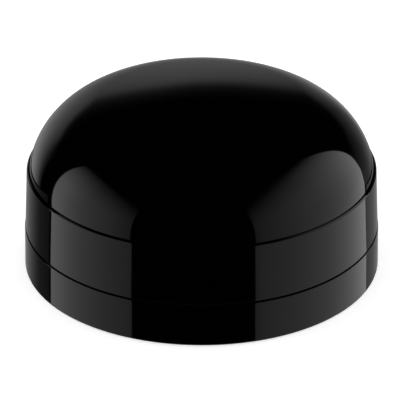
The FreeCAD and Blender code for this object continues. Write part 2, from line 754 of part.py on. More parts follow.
def make_inserts(document, size):
    """Brass inserts with a waist between two collars, open to the underside."""
    body = new_body(document, "threaded_inserts")
    collar = size.insert_length / 3
    features = []
    for name, radius, foot, length in (
            ("barrel", size.insert_radius, size.insert_recess, size.insert_length),
            ("lower_collar", size.insert_collar_radius, size.insert_recess, collar),
            ("upper_collar", size.insert_collar_radius, size.insert_top - collar, collar)):
        outline = draw_circle(body, name + "_outline", size.insert_x, size.insert_y, radius, lift=foot)
        features.append(pad(body, outline, name, length))
    bore_outline = draw_circle(body, "bore_outline", size.insert_x, size.insert_y, size.insert_bore,
                               lift=size.insert_recess)
    features.append(cut_upwards(body, bore_outline, "bore", size.insert_length))
    repeat_round(body, "inserts", features, size.insert_count)
    return body


def make_vent(document, size):
    return make_cylinder(document, "vent_membrane", (size.vent_x, size.vent_y), size.base_floor,
                         size.vent_radius, size.vent_thickness)


def make_shell(document, size):
    """The connector's metal shell: threaded tube, hexagon flange and shank."""
    body = new_body(document, "connector_shell")
    bevel_radius = size.thread_radius - size.thread_bevel
    section = draw(body, "shell_section", [
        (size.shell_bore, size.shell_tip),
        (bevel_radius, size.shell_tip),
        (size.thread_radius, size.shell_tip + size.thread_bevel),
        (size.thread_radius, size.shank_top - size.thread_bevel),
        (bevel_radius, size.shank_top),
        (size.shell_bore, size.shank_top),
    ])
    turn(body, section, "tube")
    flange_foot = size.shell_flange_top - size.shell_flange
    outline = draw(body, "flange_outline", hexagon(ZERO, ZERO, size.hexagon_radius), role="XY_Plane",
                   lift=flange_foot)
    pad(body, outline, "flange", size.shell_flange)
    bore = draw_circle(body, "bore_outline", ZERO, ZERO, size.shell_bore, lift=flange_foot)
    cut_upwards(body, bore, "bore", size.shell_flange)
    return body


def make_insert(document, size):
    """The plastic insert: a sleeve with its coding key, and a floor that holds the pins."""
    body = new_body(document, "connector_insert")
    outside = size.shell_bore - size.seal_play
    section = draw(body, "insert_section", [
        (size.socket_radius, size.sleeve_tip),
        (outside, size.sleeve_tip),
        (outside, size.shank_top),
        (ZERO, size.shank_top),
        (ZERO, size.socket_floor),
        (size.socket_radius, size.socket_floor),
    ])
    turn(body, section, "sleeve")
    key_root = size.socket_radius + size.sleeve_wall / 2
    key_outline = draw(body, "key_outline", rectangle(
        size.socket_radius - size.key_height, -size.key_width / 2, key_root, size.key_width / 2),
        role="XY_Plane", lift=size.sleeve_tip + size.key_setback)
    pad(body, key_outline, "key", size.socket_depth)
    cut_pin_holes(body, size, size.pin_radius + size.seal_play, size.socket_floor, size.shank_top)
    return body


def cut_pin_holes(body, size, radius, foot, top):
    """A hole on the axis for the centre pin, and one for each pin round it."""
    centre = draw_circle(body, "centre_pin_outline", ZERO, ZERO, radius, lift=foot)
    cut_upwards(body, centre, "centre_pin_hole", top - foot)
    sink_holes(body, "pin", size.pin_x, size.pin_y, radius, foot, top, size.pin_count)


def make_pins(document, size):
    """The contact pins, from the plug's cavity to the main board."""
    body = new_body(document, "connector_pins")
    foot = size.sleeve_tip + size.pin_setback
    top = size.main_board_top + size.pin_stickout
    centre = draw_circle(body, "centre_outline", ZERO, ZERO, size.pin_radius, lift=foot)
    pad(body, centre, "centre_pin", top - foot)
    raise_bosses(body, "pin", size.pin_x, size.pin_y, size.pin_radius, foot, top, size.pin_count)
    return body


def make_gasket(document, size):
    body = new_body(document, "connector_gasket")
    section = draw(body, "gasket_section", rectangle(
        size.thread_radius + size.seat_clearance, size.shell_flange_top, size.gasket_radius,
        size.well_depth))
    turn(body, section, "gasket_ring")
    return body


def make_nut(document, size):
    body = new_body(document, "connector_nut")
    outline = draw(body, "nut_outline", hexagon(ZERO, ZERO, size.hexagon_radius), role="XY_Plane",
                   lift=size.well_roof)
    pad(body, outline, "nut", size.nut_thickness)
    bore = draw_circle(body, "bore_outline", ZERO, ZERO, size.thread_radius + size.seal_play,
                       lift=size.well_roof)
    cut_upwards(body, bore, "bore", size.nut_thickness)
    return body


def make_board(document, size, node, foot, radius):
    """A round board with a hole at each post."""
    body = new_body(document, node)
    outline = draw_circle(body, "board_outline", ZERO, ZERO, radius, lift=foot)
    pad(body, outline, "board", size.board_thickness)
    sink_holes(body, "post", size.post_x, size.post_y, size.stud_hole, foot,
               foot + size.board_thickness, size.post_count)
    return body


def make_main_board(document, size):
    body = make_board(document, size, "main_board", size.main_board_foot, size.main_board_radius)
    cut_pin_holes(body, size, size.pin_radius + size.seat_clearance, size.main_board_foot,
                  size.main_board_top)
    return body


def make_aerial_board(document, size):
    body = make_board(document, size, "aerial_board", size.aerial_board_foot, size.aerial_board_radius)
    feed = draw_circle(body, "feed_outline", size.feed_offset, ZERO, size.feed_radius + size.seat_clearance,
                       lift=size.aerial_board_foot)
    cut_upwards(body, feed, "feed_hole", size.board_thickness)
    return body


def make_spacers(document, size):
    """Hexagon spacers: a stud through the main board, and a threaded hole for the upper screws."""
    body = new_body(document, "board_spacers")
    barrel_outline = draw(body, "spacer_outline", hexagon(size.post_x, size.post_y, size.spacer_radius),
                          role="XY_Plane", lift=size.main_board_top)
    barrel = pad(body, barrel_outline, "barrel", size.spacer_height)
    stud_outline = draw_circle(body, "stud_outline", size.post_x, size.post_y, size.stud_radius,
                               lift=size.main_board_foot - size.stud_length)
    stud = pad(body, stud_outline, "stud", size.stud_length + size.board_thickness)
    bore_outline = draw_circle(body, "bore_outline", size.post_x, size.post_y, size.stud_hole,
                               lift=size.aerial_board_foot - size.spacer_bore_depth)
    bore = cut_upwards(body, bore_outline, "bore", size.spacer_bore_depth)
    repeat_round(body, "spacers", [barrel, stud, bore], size.post_count)
    return body


def make_board_screws(document, size):
    """Screws through the aerial board into the spacers."""
    body = new_body(document, "board_screws")
    head_outline = draw_circle(body, "head_outline", size.post_x, size.post_y, size.board_screw_head,
                               lift=size.aerial_board_top)
    head = pad(body, head_outline, "head", size.board_screw_head_height)
    shank_outline = draw_circle(body, "shank_outline", size.post_x, size.post_y, size.stud_radius,
                                lift=size.aerial_board_foot - size.board_screw_length)
    shank = pad(body, shank_outline, "shank", size.board_screw_length + size.board_thickness)
    repeat_round(body, "screws", [head, shank], size.post_count)
    return body


def make_patch(document, size):
    """The ceramic patch with its adhesive, its silver face and the feed pin through all of them."""
    hole_radius = size.feed_radius + size.seal_play
    hole = make_cylinder(document, "feed_bore", (size.feed_offset, ZERO), size.aerial_board_top,
                         hole_radius, size.electrode_top - size.aerial_board_top)
    tape = make_chip(document, "tape_block", (ZERO, ZERO),
                     (size.tape_width, size.tape_width, size.tape_thickness), size.aerial_board_top)
    ceramic = make_chip(document, "ceramic_block", (ZERO, ZERO),
                        (size.patch_width, size.patch_width, size.patch_height), size.patch_foot)
    return [make_cut(document, "patch_tape", tape, hole), make_cut(document, "patch_ceramic", ceramic, hole),
            make_electrode(document, size, hole_radius), make_feed_pin(document, size)]


def make_electrode(document, size, hole_radius):
    """The silver face: a square with two opposite corners trimmed."""
    body = new_body(document, "patch_electrode")
    half = size.electrode_width / 2
    trim = half - size.electrode_cut
    outline = draw(body, "electrode_outline", [
        (-half, -half), (trim, -half), (half, -trim), (half, half), (-trim, half), (-half, trim)],
        role="XY_Plane", lift=size.patch_top)
    pad(body, outline, "electrode", size.electrode_thickness)
    feed_outline = draw_circle(body, "feed_outline", size.feed_offset, ZERO, hole_radius,
                               lift=size.patch_top)
    cut_upwards(body, feed_outline, "feed_hole", size.electrode_thickness)
    return body


def make_feed_pin(document, size):
    body = new_body(document, "feed_pin")
    foot = size.aerial_board_foot - size.feed_stickout
    pin_outline = draw_circle(body, "pin_outline", size.feed_offset, ZERO, size.feed_radius, lift=foot)
    pad(body, pin_outline, "pin", size.electrode_top - foot)
    head_outline = draw_circle(body, "head_outline", size.feed_offset, ZERO, size.feed_head_radius,
                               lift=size.electrode_top)
    pad(body, head_outline, "head", size.feed_head_height)
    return body


def make_amplifier(document, size):
    """The low-noise amplifier and its filter under the aerial board, in their shield can."""
    can_foot = size.aerial_board_foot - size.can_height
    inside = size.can_width - size.can_wall * 2
    can = make_chip(document, "can_block", (ZERO, ZERO), (size.can_width, size.can_width, size.can_height),
                    can_foot)
    room = make_chip(document, "can_room", (ZERO, ZERO), (inside, inside, size.can_height - size.can_wall),
                     can_foot + size.can_wall)
    chip = make_chip(document, "amplifier_chip", (size.amplifier_x, ZERO),
                     (size.amplifier_width, size.amplifier_width, size.amplifier_height),
                     size.aerial_board_foot - size.amplifier_height)
    band_filter = make_chip(document, "band_filter", (size.amplifier_x, size.filter_y),
                            (size.filter_width, size.filter_width, size.filter_height),
                            size.aerial_board_foot - size.filter_height)
    return [make_cut(document, "amplifier_can", can, room), chip, band_filter]


def make_receiver(document, size):
    """The receiver chip and its crystal in a two-piece shield: a soldered frame and a clip-on lid."""
    centre = (size.shield_x, size.shield_y)
    foot = size.main_board_top
    frame = make_chip(document, "frame_block", centre,
                      (size.shield_length, size.shield_width, size.shield_height), foot)
    room = make_chip(document, "frame_room", centre,
                     (size.shield_length - size.can_wall * 2, size.shield_width - size.can_wall * 2,
                      size.shield_height), foot)
    lid_room_length = size.shield_length + size.seat_clearance
    lid_room_width = size.shield_width + size.seat_clearance
    lid_foot = foot + size.shield_height - size.lid_overlap
    lid = make_chip(document, "lid_block", centre,
                    (lid_room_length + size.can_wall * 2, lid_room_width + size.can_wall * 2,
                     size.lid_overlap + size.can_wall), lid_foot)
    lid_room = make_chip(document, "lid_room", centre, (lid_room_length, lid_room_width, size.lid_overlap),
                         lid_foot)
    reach = size.shield_length / 2 - size.can_wall - size.shield_margin
    receiver = make_chip(document, "receiver_chip",
                         (size.shield_x - reach + size.receiver_width / 2, size.shield_y),
                         (size.receiver_width, size.receiver_width, size.receiver_height), foot)
    crystal = make_chip(document, "clock_crystal",
                        (size.shield_x + reach - size.crystal_length / 2, size.shield_y),
                        (size.crystal_length, size.crystal_width, size.crystal_height), foot)
    return [make_cut(document, "shield_frame", frame, room), make_cut(document, "shield_lid", lid, lid_room),
            receiver, crystal]


def make_power_parts(document, size):
    """What else stands on the main board: chips, inductor, capacitors and the backup cell."""
    foot = size.main_board_top
    processor = make_chip(document, "processor_chip", (size.processor_x, size.processor_y),
                          (size.processor_width, size.processor_width, size.processor_height), foot)
    transceiver = make_chip(document, "transceiver_chip", (size.transceiver_x, size.transceiver_y),
                            (size.transceiver_length, size.transceiver_width, size.transceiver_height),
                            foot)
    cell = make_cylinder(document, "backup_cell", (size.cell_x, ZERO), foot, size.cell_radius,
                         size.cell_height)
    return [processor, transceiver, cell, make_inductor(document, size, foot),
            make_capacitors(document, size, foot), make_ceramics(document, size, foot),
            make_resistors(document, size, foot)]


def make_inductor(document, size, foot):
    """A square moulded coil with rounded corners."""
    body = new_body(document, "power_inductor")
    half = size.inductor_width / 2
    outline = draw(body, "inductor_outline", rectangle(
        size.inductor_x - half, size.inductor_y - half, size.inductor_x + half, size.inductor_y + half),
        role="XY_Plane", lift=foot)
    block = pad(body, outline, "block", size.inductor_height)
    document.recompute()
    upright = ["Edge%d" % index for index, edge in enumerate(block.Shape.Edges, start=1)
               if edge.BoundBox.ZLength > edge.Length / 2]
    rounding = body.newObject("PartDesign::Fillet", "corners")
    rounding.Base = (block, upright)
    rounding.Radius = size.inductor_fillet.number
    bind(rounding, "Radius", size.inductor_fillet)
    body.Tip = rounding
    return body


def make_capacitors(document, size, foot):
    """A row of round capacitors beside the inductor."""
    body = new_body(document, "filter_capacitors")
    row_y = size.inductor_y - size.inductor_width / 2 - size.capacitor_gap - size.capacitor_radius
    span = size.capacitor_pitch * (size.capacitor_count - 1)
    outline = draw_circle(body, "can_outline", -span / 2, row_y, size.capacitor_radius, lift=foot)
    can = pad(body, outline, "can", size.capacitor_height)
    repeat_along(body, "cans", can, "X_Axis", span, size.capacitor_count)
    return body


def add_row(body, size, name, centre, axis, count, foot, height):
    """Small blocks side by side along one axis, in a row centred on a point."""
    span = size.small_pitch * (count - 1)
    half_length = size.small_length / 2
    half_width = size.small_width / 2
    if axis == "X_Axis":
        low = (centre[0] - span / 2 - half_width, centre[1] - half_length)
        high = (centre[0] - span / 2 + half_width, centre[1] + half_length)
    else:
        low = (centre[0] - half_length, centre[1] - span / 2 - half_width)
        high = (centre[0] + half_length, centre[1] - span / 2 + half_width)
    outline = draw(body, name + "_outline", rectangle(*low, *high), role="XY_Plane", lift=foot)
    block = pad(body, outline, name, height)
    repeat_along(body, name + "_row", block, axis, span, count)


def make_ceramics(document, size, foot):
    """Ceramic capacitors in a row on either side of the processor chip."""
    body = new_body(document, "ceramic_capacitors")
    reach = size.processor_width / 2 + size.small_gap + size.small_length / 2
    for name, x in (("left", size.processor_x - reach), ("right", size.processor_x + reach)):
        add_row(body, size, name, (x, size.processor_y), "Y_Axis", size.ceramic_count, foot,
                size.ceramic_height)
    return body


def make_resistors(document, size, foot):
    """Chip resistors in a row behind the processor chip, and in one beside the transceiver chip."""
    body = new_body(document, "chip_resistors")
    margin = size.small_gap + size.small_length / 2
    behind = size.processor_y + size.processor_width / 2 + margin
    beside = size.transceiver_x + size.transceiver_length / 2 + margin
    add_row(body, size, "behind", (size.processor_x, behind), "X_Axis", size.resistor_count, foot,
            size.resistor_height)
    add_row(body, size, "beside", (beside, size.transceiver_y), "Y_Axis", size.resistor_count, foot,
            size.resistor_height)
    return body


def make_coax(document, size):
    """The aerial lead: a socket and a plug on each board, and the lead bent between the plugs."""
    lower = size.main_board_top
    upper = size.aerial_board_foot
    sockets = new_body(document, "coax_sockets")
    plugs = new_body(document, "coax_plugs")
    socket_height = size.coax_socket_height
    plug_height = size.coax_plug_height - size.seat_clearance
    for name, socket_foot, plug_foot, bore_foot in (
            ("lower", lower, lower + size.seat_clearance, lower + size.seat_clearance),
            ("upper", upper - socket_height, upper - size.coax_plug_height, upper - socket_height)):
        socket = draw_circle(sockets, name + "_outline", size.coax_x, size.coax_y,
                             size.coax_socket_radius, lift=socket_foot)
        pad(sockets, socket, name + "_socket", socket_height)
        plug = draw_circle(plugs, name + "_outline", size.coax_x, size.coax_y, size.coax_plug_radius,
                           lift=plug_foot)
        pad(plugs, plug, name + "_plug", plug_height)
        bore = draw_circle(plugs, name + "_bore_outline", size.coax_x, size.coax_y,
                           size.coax_socket_radius + size.seal_play, lift=bore_foot)
        cut_upwards(plugs, bore, name + "_bore", socket_height - size.seat_clearance)
    return [sockets, plugs, make_coax_lead(document, size, lower, upper)]


def make_coax_lead(document, size, lower, upper):
    """A round lead along straight runs with equal bends, in the plane of the two plugs."""
    body = new_body(document, "coax_lead")
    start = size.coax_x + size.coax_plug_radius
    end = start + size.coax_reach
    half_plug = size.coax_plug_height / 2 + size.seat_clearance
    low = lower + half_plug
    high = upper - half_plug
    bend = size.coax_bend
    route = draw(body, "route", [
        (start, low),
        (end - bend, low, Bend(end - bend, low + bend, bend, True)),
        (end, low + bend),
        (end, high - bend, Bend(end - bend, high - bend, bend, True)),
        (end - bend, high),
        (start, high),
    ], lift=-size.coax_y, closed=False)
    section = draw_circle(body, "lead_outline", size.coax_y, low, size.coax_cable_radius,
                          role="YZ_Plane", lift=start)
    lead = body.newObject("PartDesign::AdditivePipe", "lead")
    lead.Profile = section
    lead.Spine = (route, ["Edge%d" % (index + 1) for index in range(route.GeometryCount)])
    body.Tip = lead
    return body


def make_all(document, size):
    """Every sub-part, from the outside in."""
    pieces = [make_radome(document, size), make_ring(document, size), make_base(document, size)]
    pieces.append(make_seal(document, size, "radome_seal", size.ring_bore, size.skirt_seal))
    pieces.append(make_seal(document, size, "base_seal", size.base_bore, size.spigot_seal))
    for make in (make_housing_screws, make_inserts, make_vent, make_shell, make_insert, make_pins,
                 make_gasket, make_nut, make_main_board, make_aerial_board, make_spacers,
                 make_board_screws):
        pieces.append(make(document, size))
    for make in (make_patch, make_amplifier, make_receiver, make_power_parts, make_coax):
        pieces.extend(make(document, size))
    return pieces


def check(document, pieces):
    """Stop if any object failed, or any sub-part has no valid solid."""
    for thing in document.Objects:
        if "Invalid" in thing.State or "Error" in thing.State:
            raise RuntimeError("%s failed: %s" % (thing.Name, thing.State))
    for piece in pieces:
        if piece.Shape.isNull() or not piece.Shape.isValid() or not piece.Shape.Solids:
            raise RuntimeError("%s has no valid solid" % piece.Label)


def write(pieces):
    os.makedirs("parts", exist_ok=True)
    for piece in pieces:
        piece.Shape.exportStep(os.path.join("parts", piece.Label + ".step"))


def main():
    document = FreeCAD.newDocument("aerial")
    size = Sizes(document)
    pieces = make_all(document, size)
    document.recompute()
    check(document, pieces)
    write(pieces)


main()
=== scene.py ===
import json
import math

import bmesh
import bpy
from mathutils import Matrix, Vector


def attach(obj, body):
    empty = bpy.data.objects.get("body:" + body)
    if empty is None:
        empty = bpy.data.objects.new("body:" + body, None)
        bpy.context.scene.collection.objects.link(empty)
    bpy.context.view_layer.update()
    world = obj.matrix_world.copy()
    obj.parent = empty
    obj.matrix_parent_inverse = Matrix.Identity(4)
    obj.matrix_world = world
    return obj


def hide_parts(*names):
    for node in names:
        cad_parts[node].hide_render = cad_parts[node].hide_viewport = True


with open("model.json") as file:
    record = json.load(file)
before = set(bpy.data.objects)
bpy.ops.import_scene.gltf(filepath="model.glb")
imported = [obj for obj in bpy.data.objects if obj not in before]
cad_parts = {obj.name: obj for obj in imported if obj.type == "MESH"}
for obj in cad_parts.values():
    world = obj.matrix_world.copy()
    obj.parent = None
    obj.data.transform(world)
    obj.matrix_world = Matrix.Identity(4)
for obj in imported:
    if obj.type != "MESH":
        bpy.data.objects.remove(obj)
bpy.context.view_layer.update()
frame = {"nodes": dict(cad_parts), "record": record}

MM = 0.001
TURN = 2 * math.pi

# Sizes in millimetres and angles in degrees, as the solids have them.
FOOT_RADIUS = 45.8
FOOT_FILLET = 0.45
BASE_TOP_RADIUS = 45.62
BASE_HEIGHT = 11.0
BASE_BORE = 43.12
BASE_FLOOR = 2.8
WELL_RADIUS = 14.0
WELL_DEPTH = 12.5
WELL_WALL = 2.4
RIB_COUNT = 6
RIB_WIDTH = 1.6
RIB_TOP = 6.0

RING_FOOT_RADIUS = 45.49
RING_RIM_RADIUS = 44.87
RING_FOOT = 11.4
RIM = 27.0
RIM_BEVEL = 0.36
LIP_RADIUS = 44.45
RING_BORE = 42.4
FLANGE_TOP = 13.4
FLANGE_REACH = 32.62
SLIT_DEPTH = 0.8
SPIGOT_RADIUS = 42.97
SPIGOT_INSIDE = 40.37
SPIGOT_FOOT = 6.8

DOME_RADIUS = 44.2
DOME_SEAT = 26.2
DOME_WALL = 2.2
SHOULDER_RADIUS = 21.07
SHOULDER_DROP = 3.69
CROWN_RADIUS = 149.7
SKIRT_RADIUS = 42.25
SKIRT_INSIDE = 40.05
SKIRT_FOOT = 13.9
BOSS_FOOT = 13.5
BOSS_TOP = 23.7

SEAL_SECTION = 1.4
SKIRT_SEAL = 17.9
SPIGOT_SEAL = 8.0

SCREW_COUNT = 6
SCREW_CIRCLE = 36.42
SCREW_HOLE = 1.7
SCREW_HEAD_HOLE = 2.9
SCREW_SEAT = 2.8
SCREW_BOSS = 3.4
SCREW_PILOT_TOP = 21.0
INSERT_COUNT = 3
INSERT_ANGLE = 30
INSERT_CIRCLE = 29.0
INSERT_HOLE = 3.22
INSERT_POCKET = 7.4
INSERT_BOSS = 4.92
INSERT_BOSS_TOP = 8.6
POST_COUNT = 3
POST_ANGLE = 90
POST_CIRCLE = 26.5
POST_RADIUS = 3.2
POST_TOP = 18.8
STUD_HOLE = 1.3
STUD_FOOT = 12.6
VENT_HOLE = 0.9
VENT_CIRCLE = 24.0
VENT_ANGLE = 75

SHANK_HOLE = 6.2
SHANK_TOP = 17.4
SHELL_BORE = 5.05
SHELL_TIP = 1.2
SHELL_FLANGE_FOOT = 9.5
SHELL_FLANGE_TOP = 11.5
HEXAGON_RADIUS = 9.5
THREAD_RADIUS = 6.0

# Sizes that only this script has: narrower webs, so that their sides cross the round bosses,
# the thread as geometry, and fine bevels and roundings.
BOSS_WEB_WIDTH = 6.76
THREAD_DEPTH = 0.6
THREAD_PITCH = 1.0
THREAD_CREST = 0.12
THREAD_FLANKS = 0.72
THREAD_BEVEL = 0.5
THREAD_RUN_IN = 0.3
THREAD_RUN_OUT = 0.4
BORE_BEVEL = 0.15
HEXAGON_BEVEL = 0.35
HEXAGON_BEVEL_HEIGHT = 0.3
LIP_EDGE = 0.02
RIM_TOP_EDGE = 0.03
SLIT_EDGE = 0.12
RIM_FOOT_EDGE = 0.15
FINE_EDGE = 0.2
SOFT_EDGE = 0.3
MOULD_CORNER = 0.5

# How finely the meshes are made, and from which angle between faces an edge is sharp.
LATHE_SIDES = 256
ROD_SIDES = 64
VENT_SIDES = 32
SHELL_SIDES = 96
HEXAGON_SIDES = 6
THREAD_ROWS = 120
SHOULDER_STEPS = 60
CROWN_STEPS = 30
INNER_SHOULDER_STEPS = 24
INNER_CROWN_STEPS = 12
SKIRT_EDGE_STEPS = 4
UPPER_EDGE_STEPS = 5
LOWER_EDGE_STEPS = 6
SHARP = 28
THREAD_SHARP = 50
LONG_SIDE = 1.0
SUPPORT_MARGIN = 0.06
ON_AXIS = 0.000001

# How far a cutter reaches past a face, and a joined piece into its neighbour. Corners that are
# closer than SAME_PLACE, in metres, become one.
CUT_PAST = 1.0
JOIN_DEPTH = 0.5
TUBE_DEPTH = 0.2
SAME_PLACE = 0.0005 * MM


# Profiles for turned pieces: lists of (radius, height) in millimetres.

def arc(centre, radius, start, end, steps):
    """Points along an arc, from one angle to another in degrees."""
    points = []
    for step in range(steps + 1):
        angle = math.radians(start + (end - start) * step / steps)
        points.append((centre[0] + radius * math.cos(angle), centre[1] + radius * math.sin(angle)))
    return points


def rounded(corners, steps):
    """A closed outline with its corners rounded: (radius, height, rounding) for each corner."""
    points = []
    for index, (x, y, size) in enumerate(corners):
        if size == 0:
            points.append((x, y))
            continue
        here = Vector((x, y))
        back = Vector(corners[index - 1][:2]) - here
        ahead = Vector(corners[(index + 1) % len(corners)][:2]) - here
        half = back.angle(ahead) / 2
        reach = size / math.tan(half)
        start = here + back.normalized() * reach
        end = here + ahead.normalized() * reach
        middle = (back.normalized() + ahead.normalized()).normalized()
        centre = here + middle * (size / math.sin(half))
        for step in range(steps + 1):
            share = step / steps
            spoke = ((start - centre) * (1 - share) + (end - centre) * share).normalized() * size
            points.append(tuple(centre + spoke))
    return points


def supported(points, closed=True):
    """The outline with a point close to both ends of each long side, so that it shades evenly."""
    result = []
    count = len(points)
    for index, point in enumerate(points):
        result.append(point)
        here = Vector(point)
        side = Vector(points[(index + 1) % count]) - here
        if side.length > LONG_SIDE and (closed or index < count - 1):
            result.append(tuple(here + side.normalized() * SUPPORT_MARGIN))
            result.append(tuple(here + side - side.normalized() * SUPPORT_MARGIN))
    return result


def groove(outline, radius, bore, foot):
    """Put a square seal groove into a straight wall that runs upwards."""
    return [*outline, (radius, foot, 0), (bore - SEAL_SECTION, foot, 0),
            (bore - SEAL_SECTION, foot + SEAL_SECTION, 0), (radius, foot + SEAL_SECTION, 0)]


# Meshes, made from sizes in millimetres.

def circle(shape, radius, height, sides, centre=(0, 0), turned=0):
    """Corners round an upright axis."""
    return [shape.verts.new(((centre[0] + radius * math.cos(turned + TURN * side / sides)) * MM,
                             (centre[1] + radius * math.sin(turned + TURN * side / sides)) * MM,
                             height * MM)) for side in range(sides)]


def bridge(shape, low, high):
    """Faces between two rings with the same number of corners."""
    for side in range(len(low)):
        after = (side + 1) % len(low)
        shape.faces.new((low[side], low[after], high[after], high[side]))


def prism(shape, rings):
    """Faces between rings from the lowest to the highest, and over both ends."""
    shape.faces.new(rings[0][::-1])
    shape.faces.new(rings[-1])
    for low, high in zip(rings, rings[1:]):
        bridge(shape, low, high)


def add(name, data):
    """A new object in the scene."""
    thing = bpy.data.objects.new(name, data)
    bpy.context.scene.collection.objects.link(thing)
    return thing


def smooth(mesh, sharp):
    """Shade a mesh smoothly, with sharp edges by angle."""
    mesh.polygons.foreach_set("use_smooth", [True] * len(mesh.polygons))
    mesh.set_sharp_from_angle(angle=math.radians(sharp))


def finished(name, shape, sharp=SHARP):
    """Turn a bmesh into an object."""
    bmesh.ops.recalc_face_normals(shape, faces=shape.faces)
    mesh = bpy.data.meshes.new(name)
    shape.to_mesh(mesh)
    shape.free()
    smooth(mesh, sharp)
    return add(name, mesh)


def lathe(name, outline):
    """A closed mesh: the outline turned round the Z axis, with a single corner on the axis."""
    shape = bmesh.new()
    rings = []
    for radius, height in outline:
        if radius < ON_AXIS:
            rings.append([shape.verts.new((0, 0, height * MM))])
        else:
            rings.append(circle(shape, radius, height, LATHE_SIDES))
    for index, low in enumerate(rings):
        high = rings[(index + 1) % len(rings)]
        if len(low) == 1 and len(high) == 1:
            continue
        for side in range(LATHE_SIDES):
            after = (side + 1) % LATHE_SIDES
            corners = [low[side % len(low)], low[after % len(low)],
                       high[after % len(high)], high[side % len(high)]]
            shape.faces.new(list(dict.fromkeys(corners)))
    return finished(name, shape)


def ring_places(radius, first, count):
    """Places round a circle from a first angle, each with its own angle in radians."""
    for index in range(count):
        angle = math.radians(first) + TURN * index / count
        yield radius * math.cos(angle), radius * math.sin(angle), angle


AXIS = [(0, 0, 0)]
SCREWS = list(ring_places(SCREW_CIRCLE, 0, SCREW_COUNT))
INSERTS = list(ring_places(INSERT_CIRCLE, INSERT_ANGLE, INSERT_COUNT))
POSTS = list(ring_places(POST_CIRCLE, POST_ANGLE, POST_COUNT))
VENT = [(VENT_CIRCLE * math.cos(math.radians(VENT_ANGLE)),
         VENT_CIRCLE * math.sin(math.radians(VENT_ANGLE)), 0)]


def rods(name, places, radius, low, high, sides=ROD_SIDES):
    """Upright round rods in one mesh."""
    shape = bmesh.new()
    for x, y, turned in places:
        prism(shape, [circle(shape, radius, height, sides, (x, y), turned)
                      for height in (low, high)])
    return finished(name, shape)


def webs(name, count, start, end, width, low, high):
    """Upright plates that run outwards, in one mesh."""
    shape = bmesh.new()
    for index in range(count):
        angle = TURN * index / count
        out = Vector((math.cos(angle), math.sin(angle), 0))
        side = Vector((-math.sin(angle), math.cos(angle), 0)) * (width / 2)
        foot = [out * start - side, out * end - side, out * end + side, out * start + side]
        prism(shape, [[shape.verts.new((corner + Vector((0, 0, height))) * MM) for corner in foot]
                      for height in (low, high)])
    return finished(name, shape)


def clean(mesh):
    """Join corners that coincide, and cut many-sided faces into triangles that have an area."""
    shape = bmesh.new()
    shape.from_mesh(mesh)
    bmesh.ops.remove_doubles(shape, verts=shape.verts, dist=SAME_PLACE)
    bmesh.ops.dissolve_degenerate(shape, dist=SAME_PLACE, edges=shape.edges)
    bmesh.ops.triangulate(shape, faces=[face for face in shape.faces if len(face.verts) > 4],
                          ngon_method="BEAUTY")
    shape.to_mesh(mesh)
    shape.free()


def combine(thing, steps):
    """Join or cut other meshes, apply the result and remove them."""
    for tool, operation in steps:
        modifier = thing.modifiers.new(operation.lower(), "BOOLEAN")
        modifier.operation = operation
        modifier.solver = "EXACT"
        modifier.object = tool
    graph = bpy.context.evaluated_depsgraph_get()
    mesh = bpy.data.meshes.new_from_object(thing.evaluated_get(graph))
    mesh.name = thing.name
    thing.modifiers.clear()
    thing.data = mesh
    clean(mesh)
    smooth(mesh, SHARP)
    for tool, _ in steps:
        bpy.data.objects.remove(tool)


# Procedural materials. A noise's values mostly lie in NOISE_RANGE, and colours change over
# COLOUR_RANGE. The face that the object stands on ends between two heights in millimetres.
NOISE_RANGE = (0.3, 0.7)
COLOUR_RANGE = (0.35, 0.65)
FOOT_FACE_END = (0.02, 0.06)
GLOSS_BLACK = (0.0003, 0.0003, 0.0003, 1)
PLASTIC_IOR = 1.5


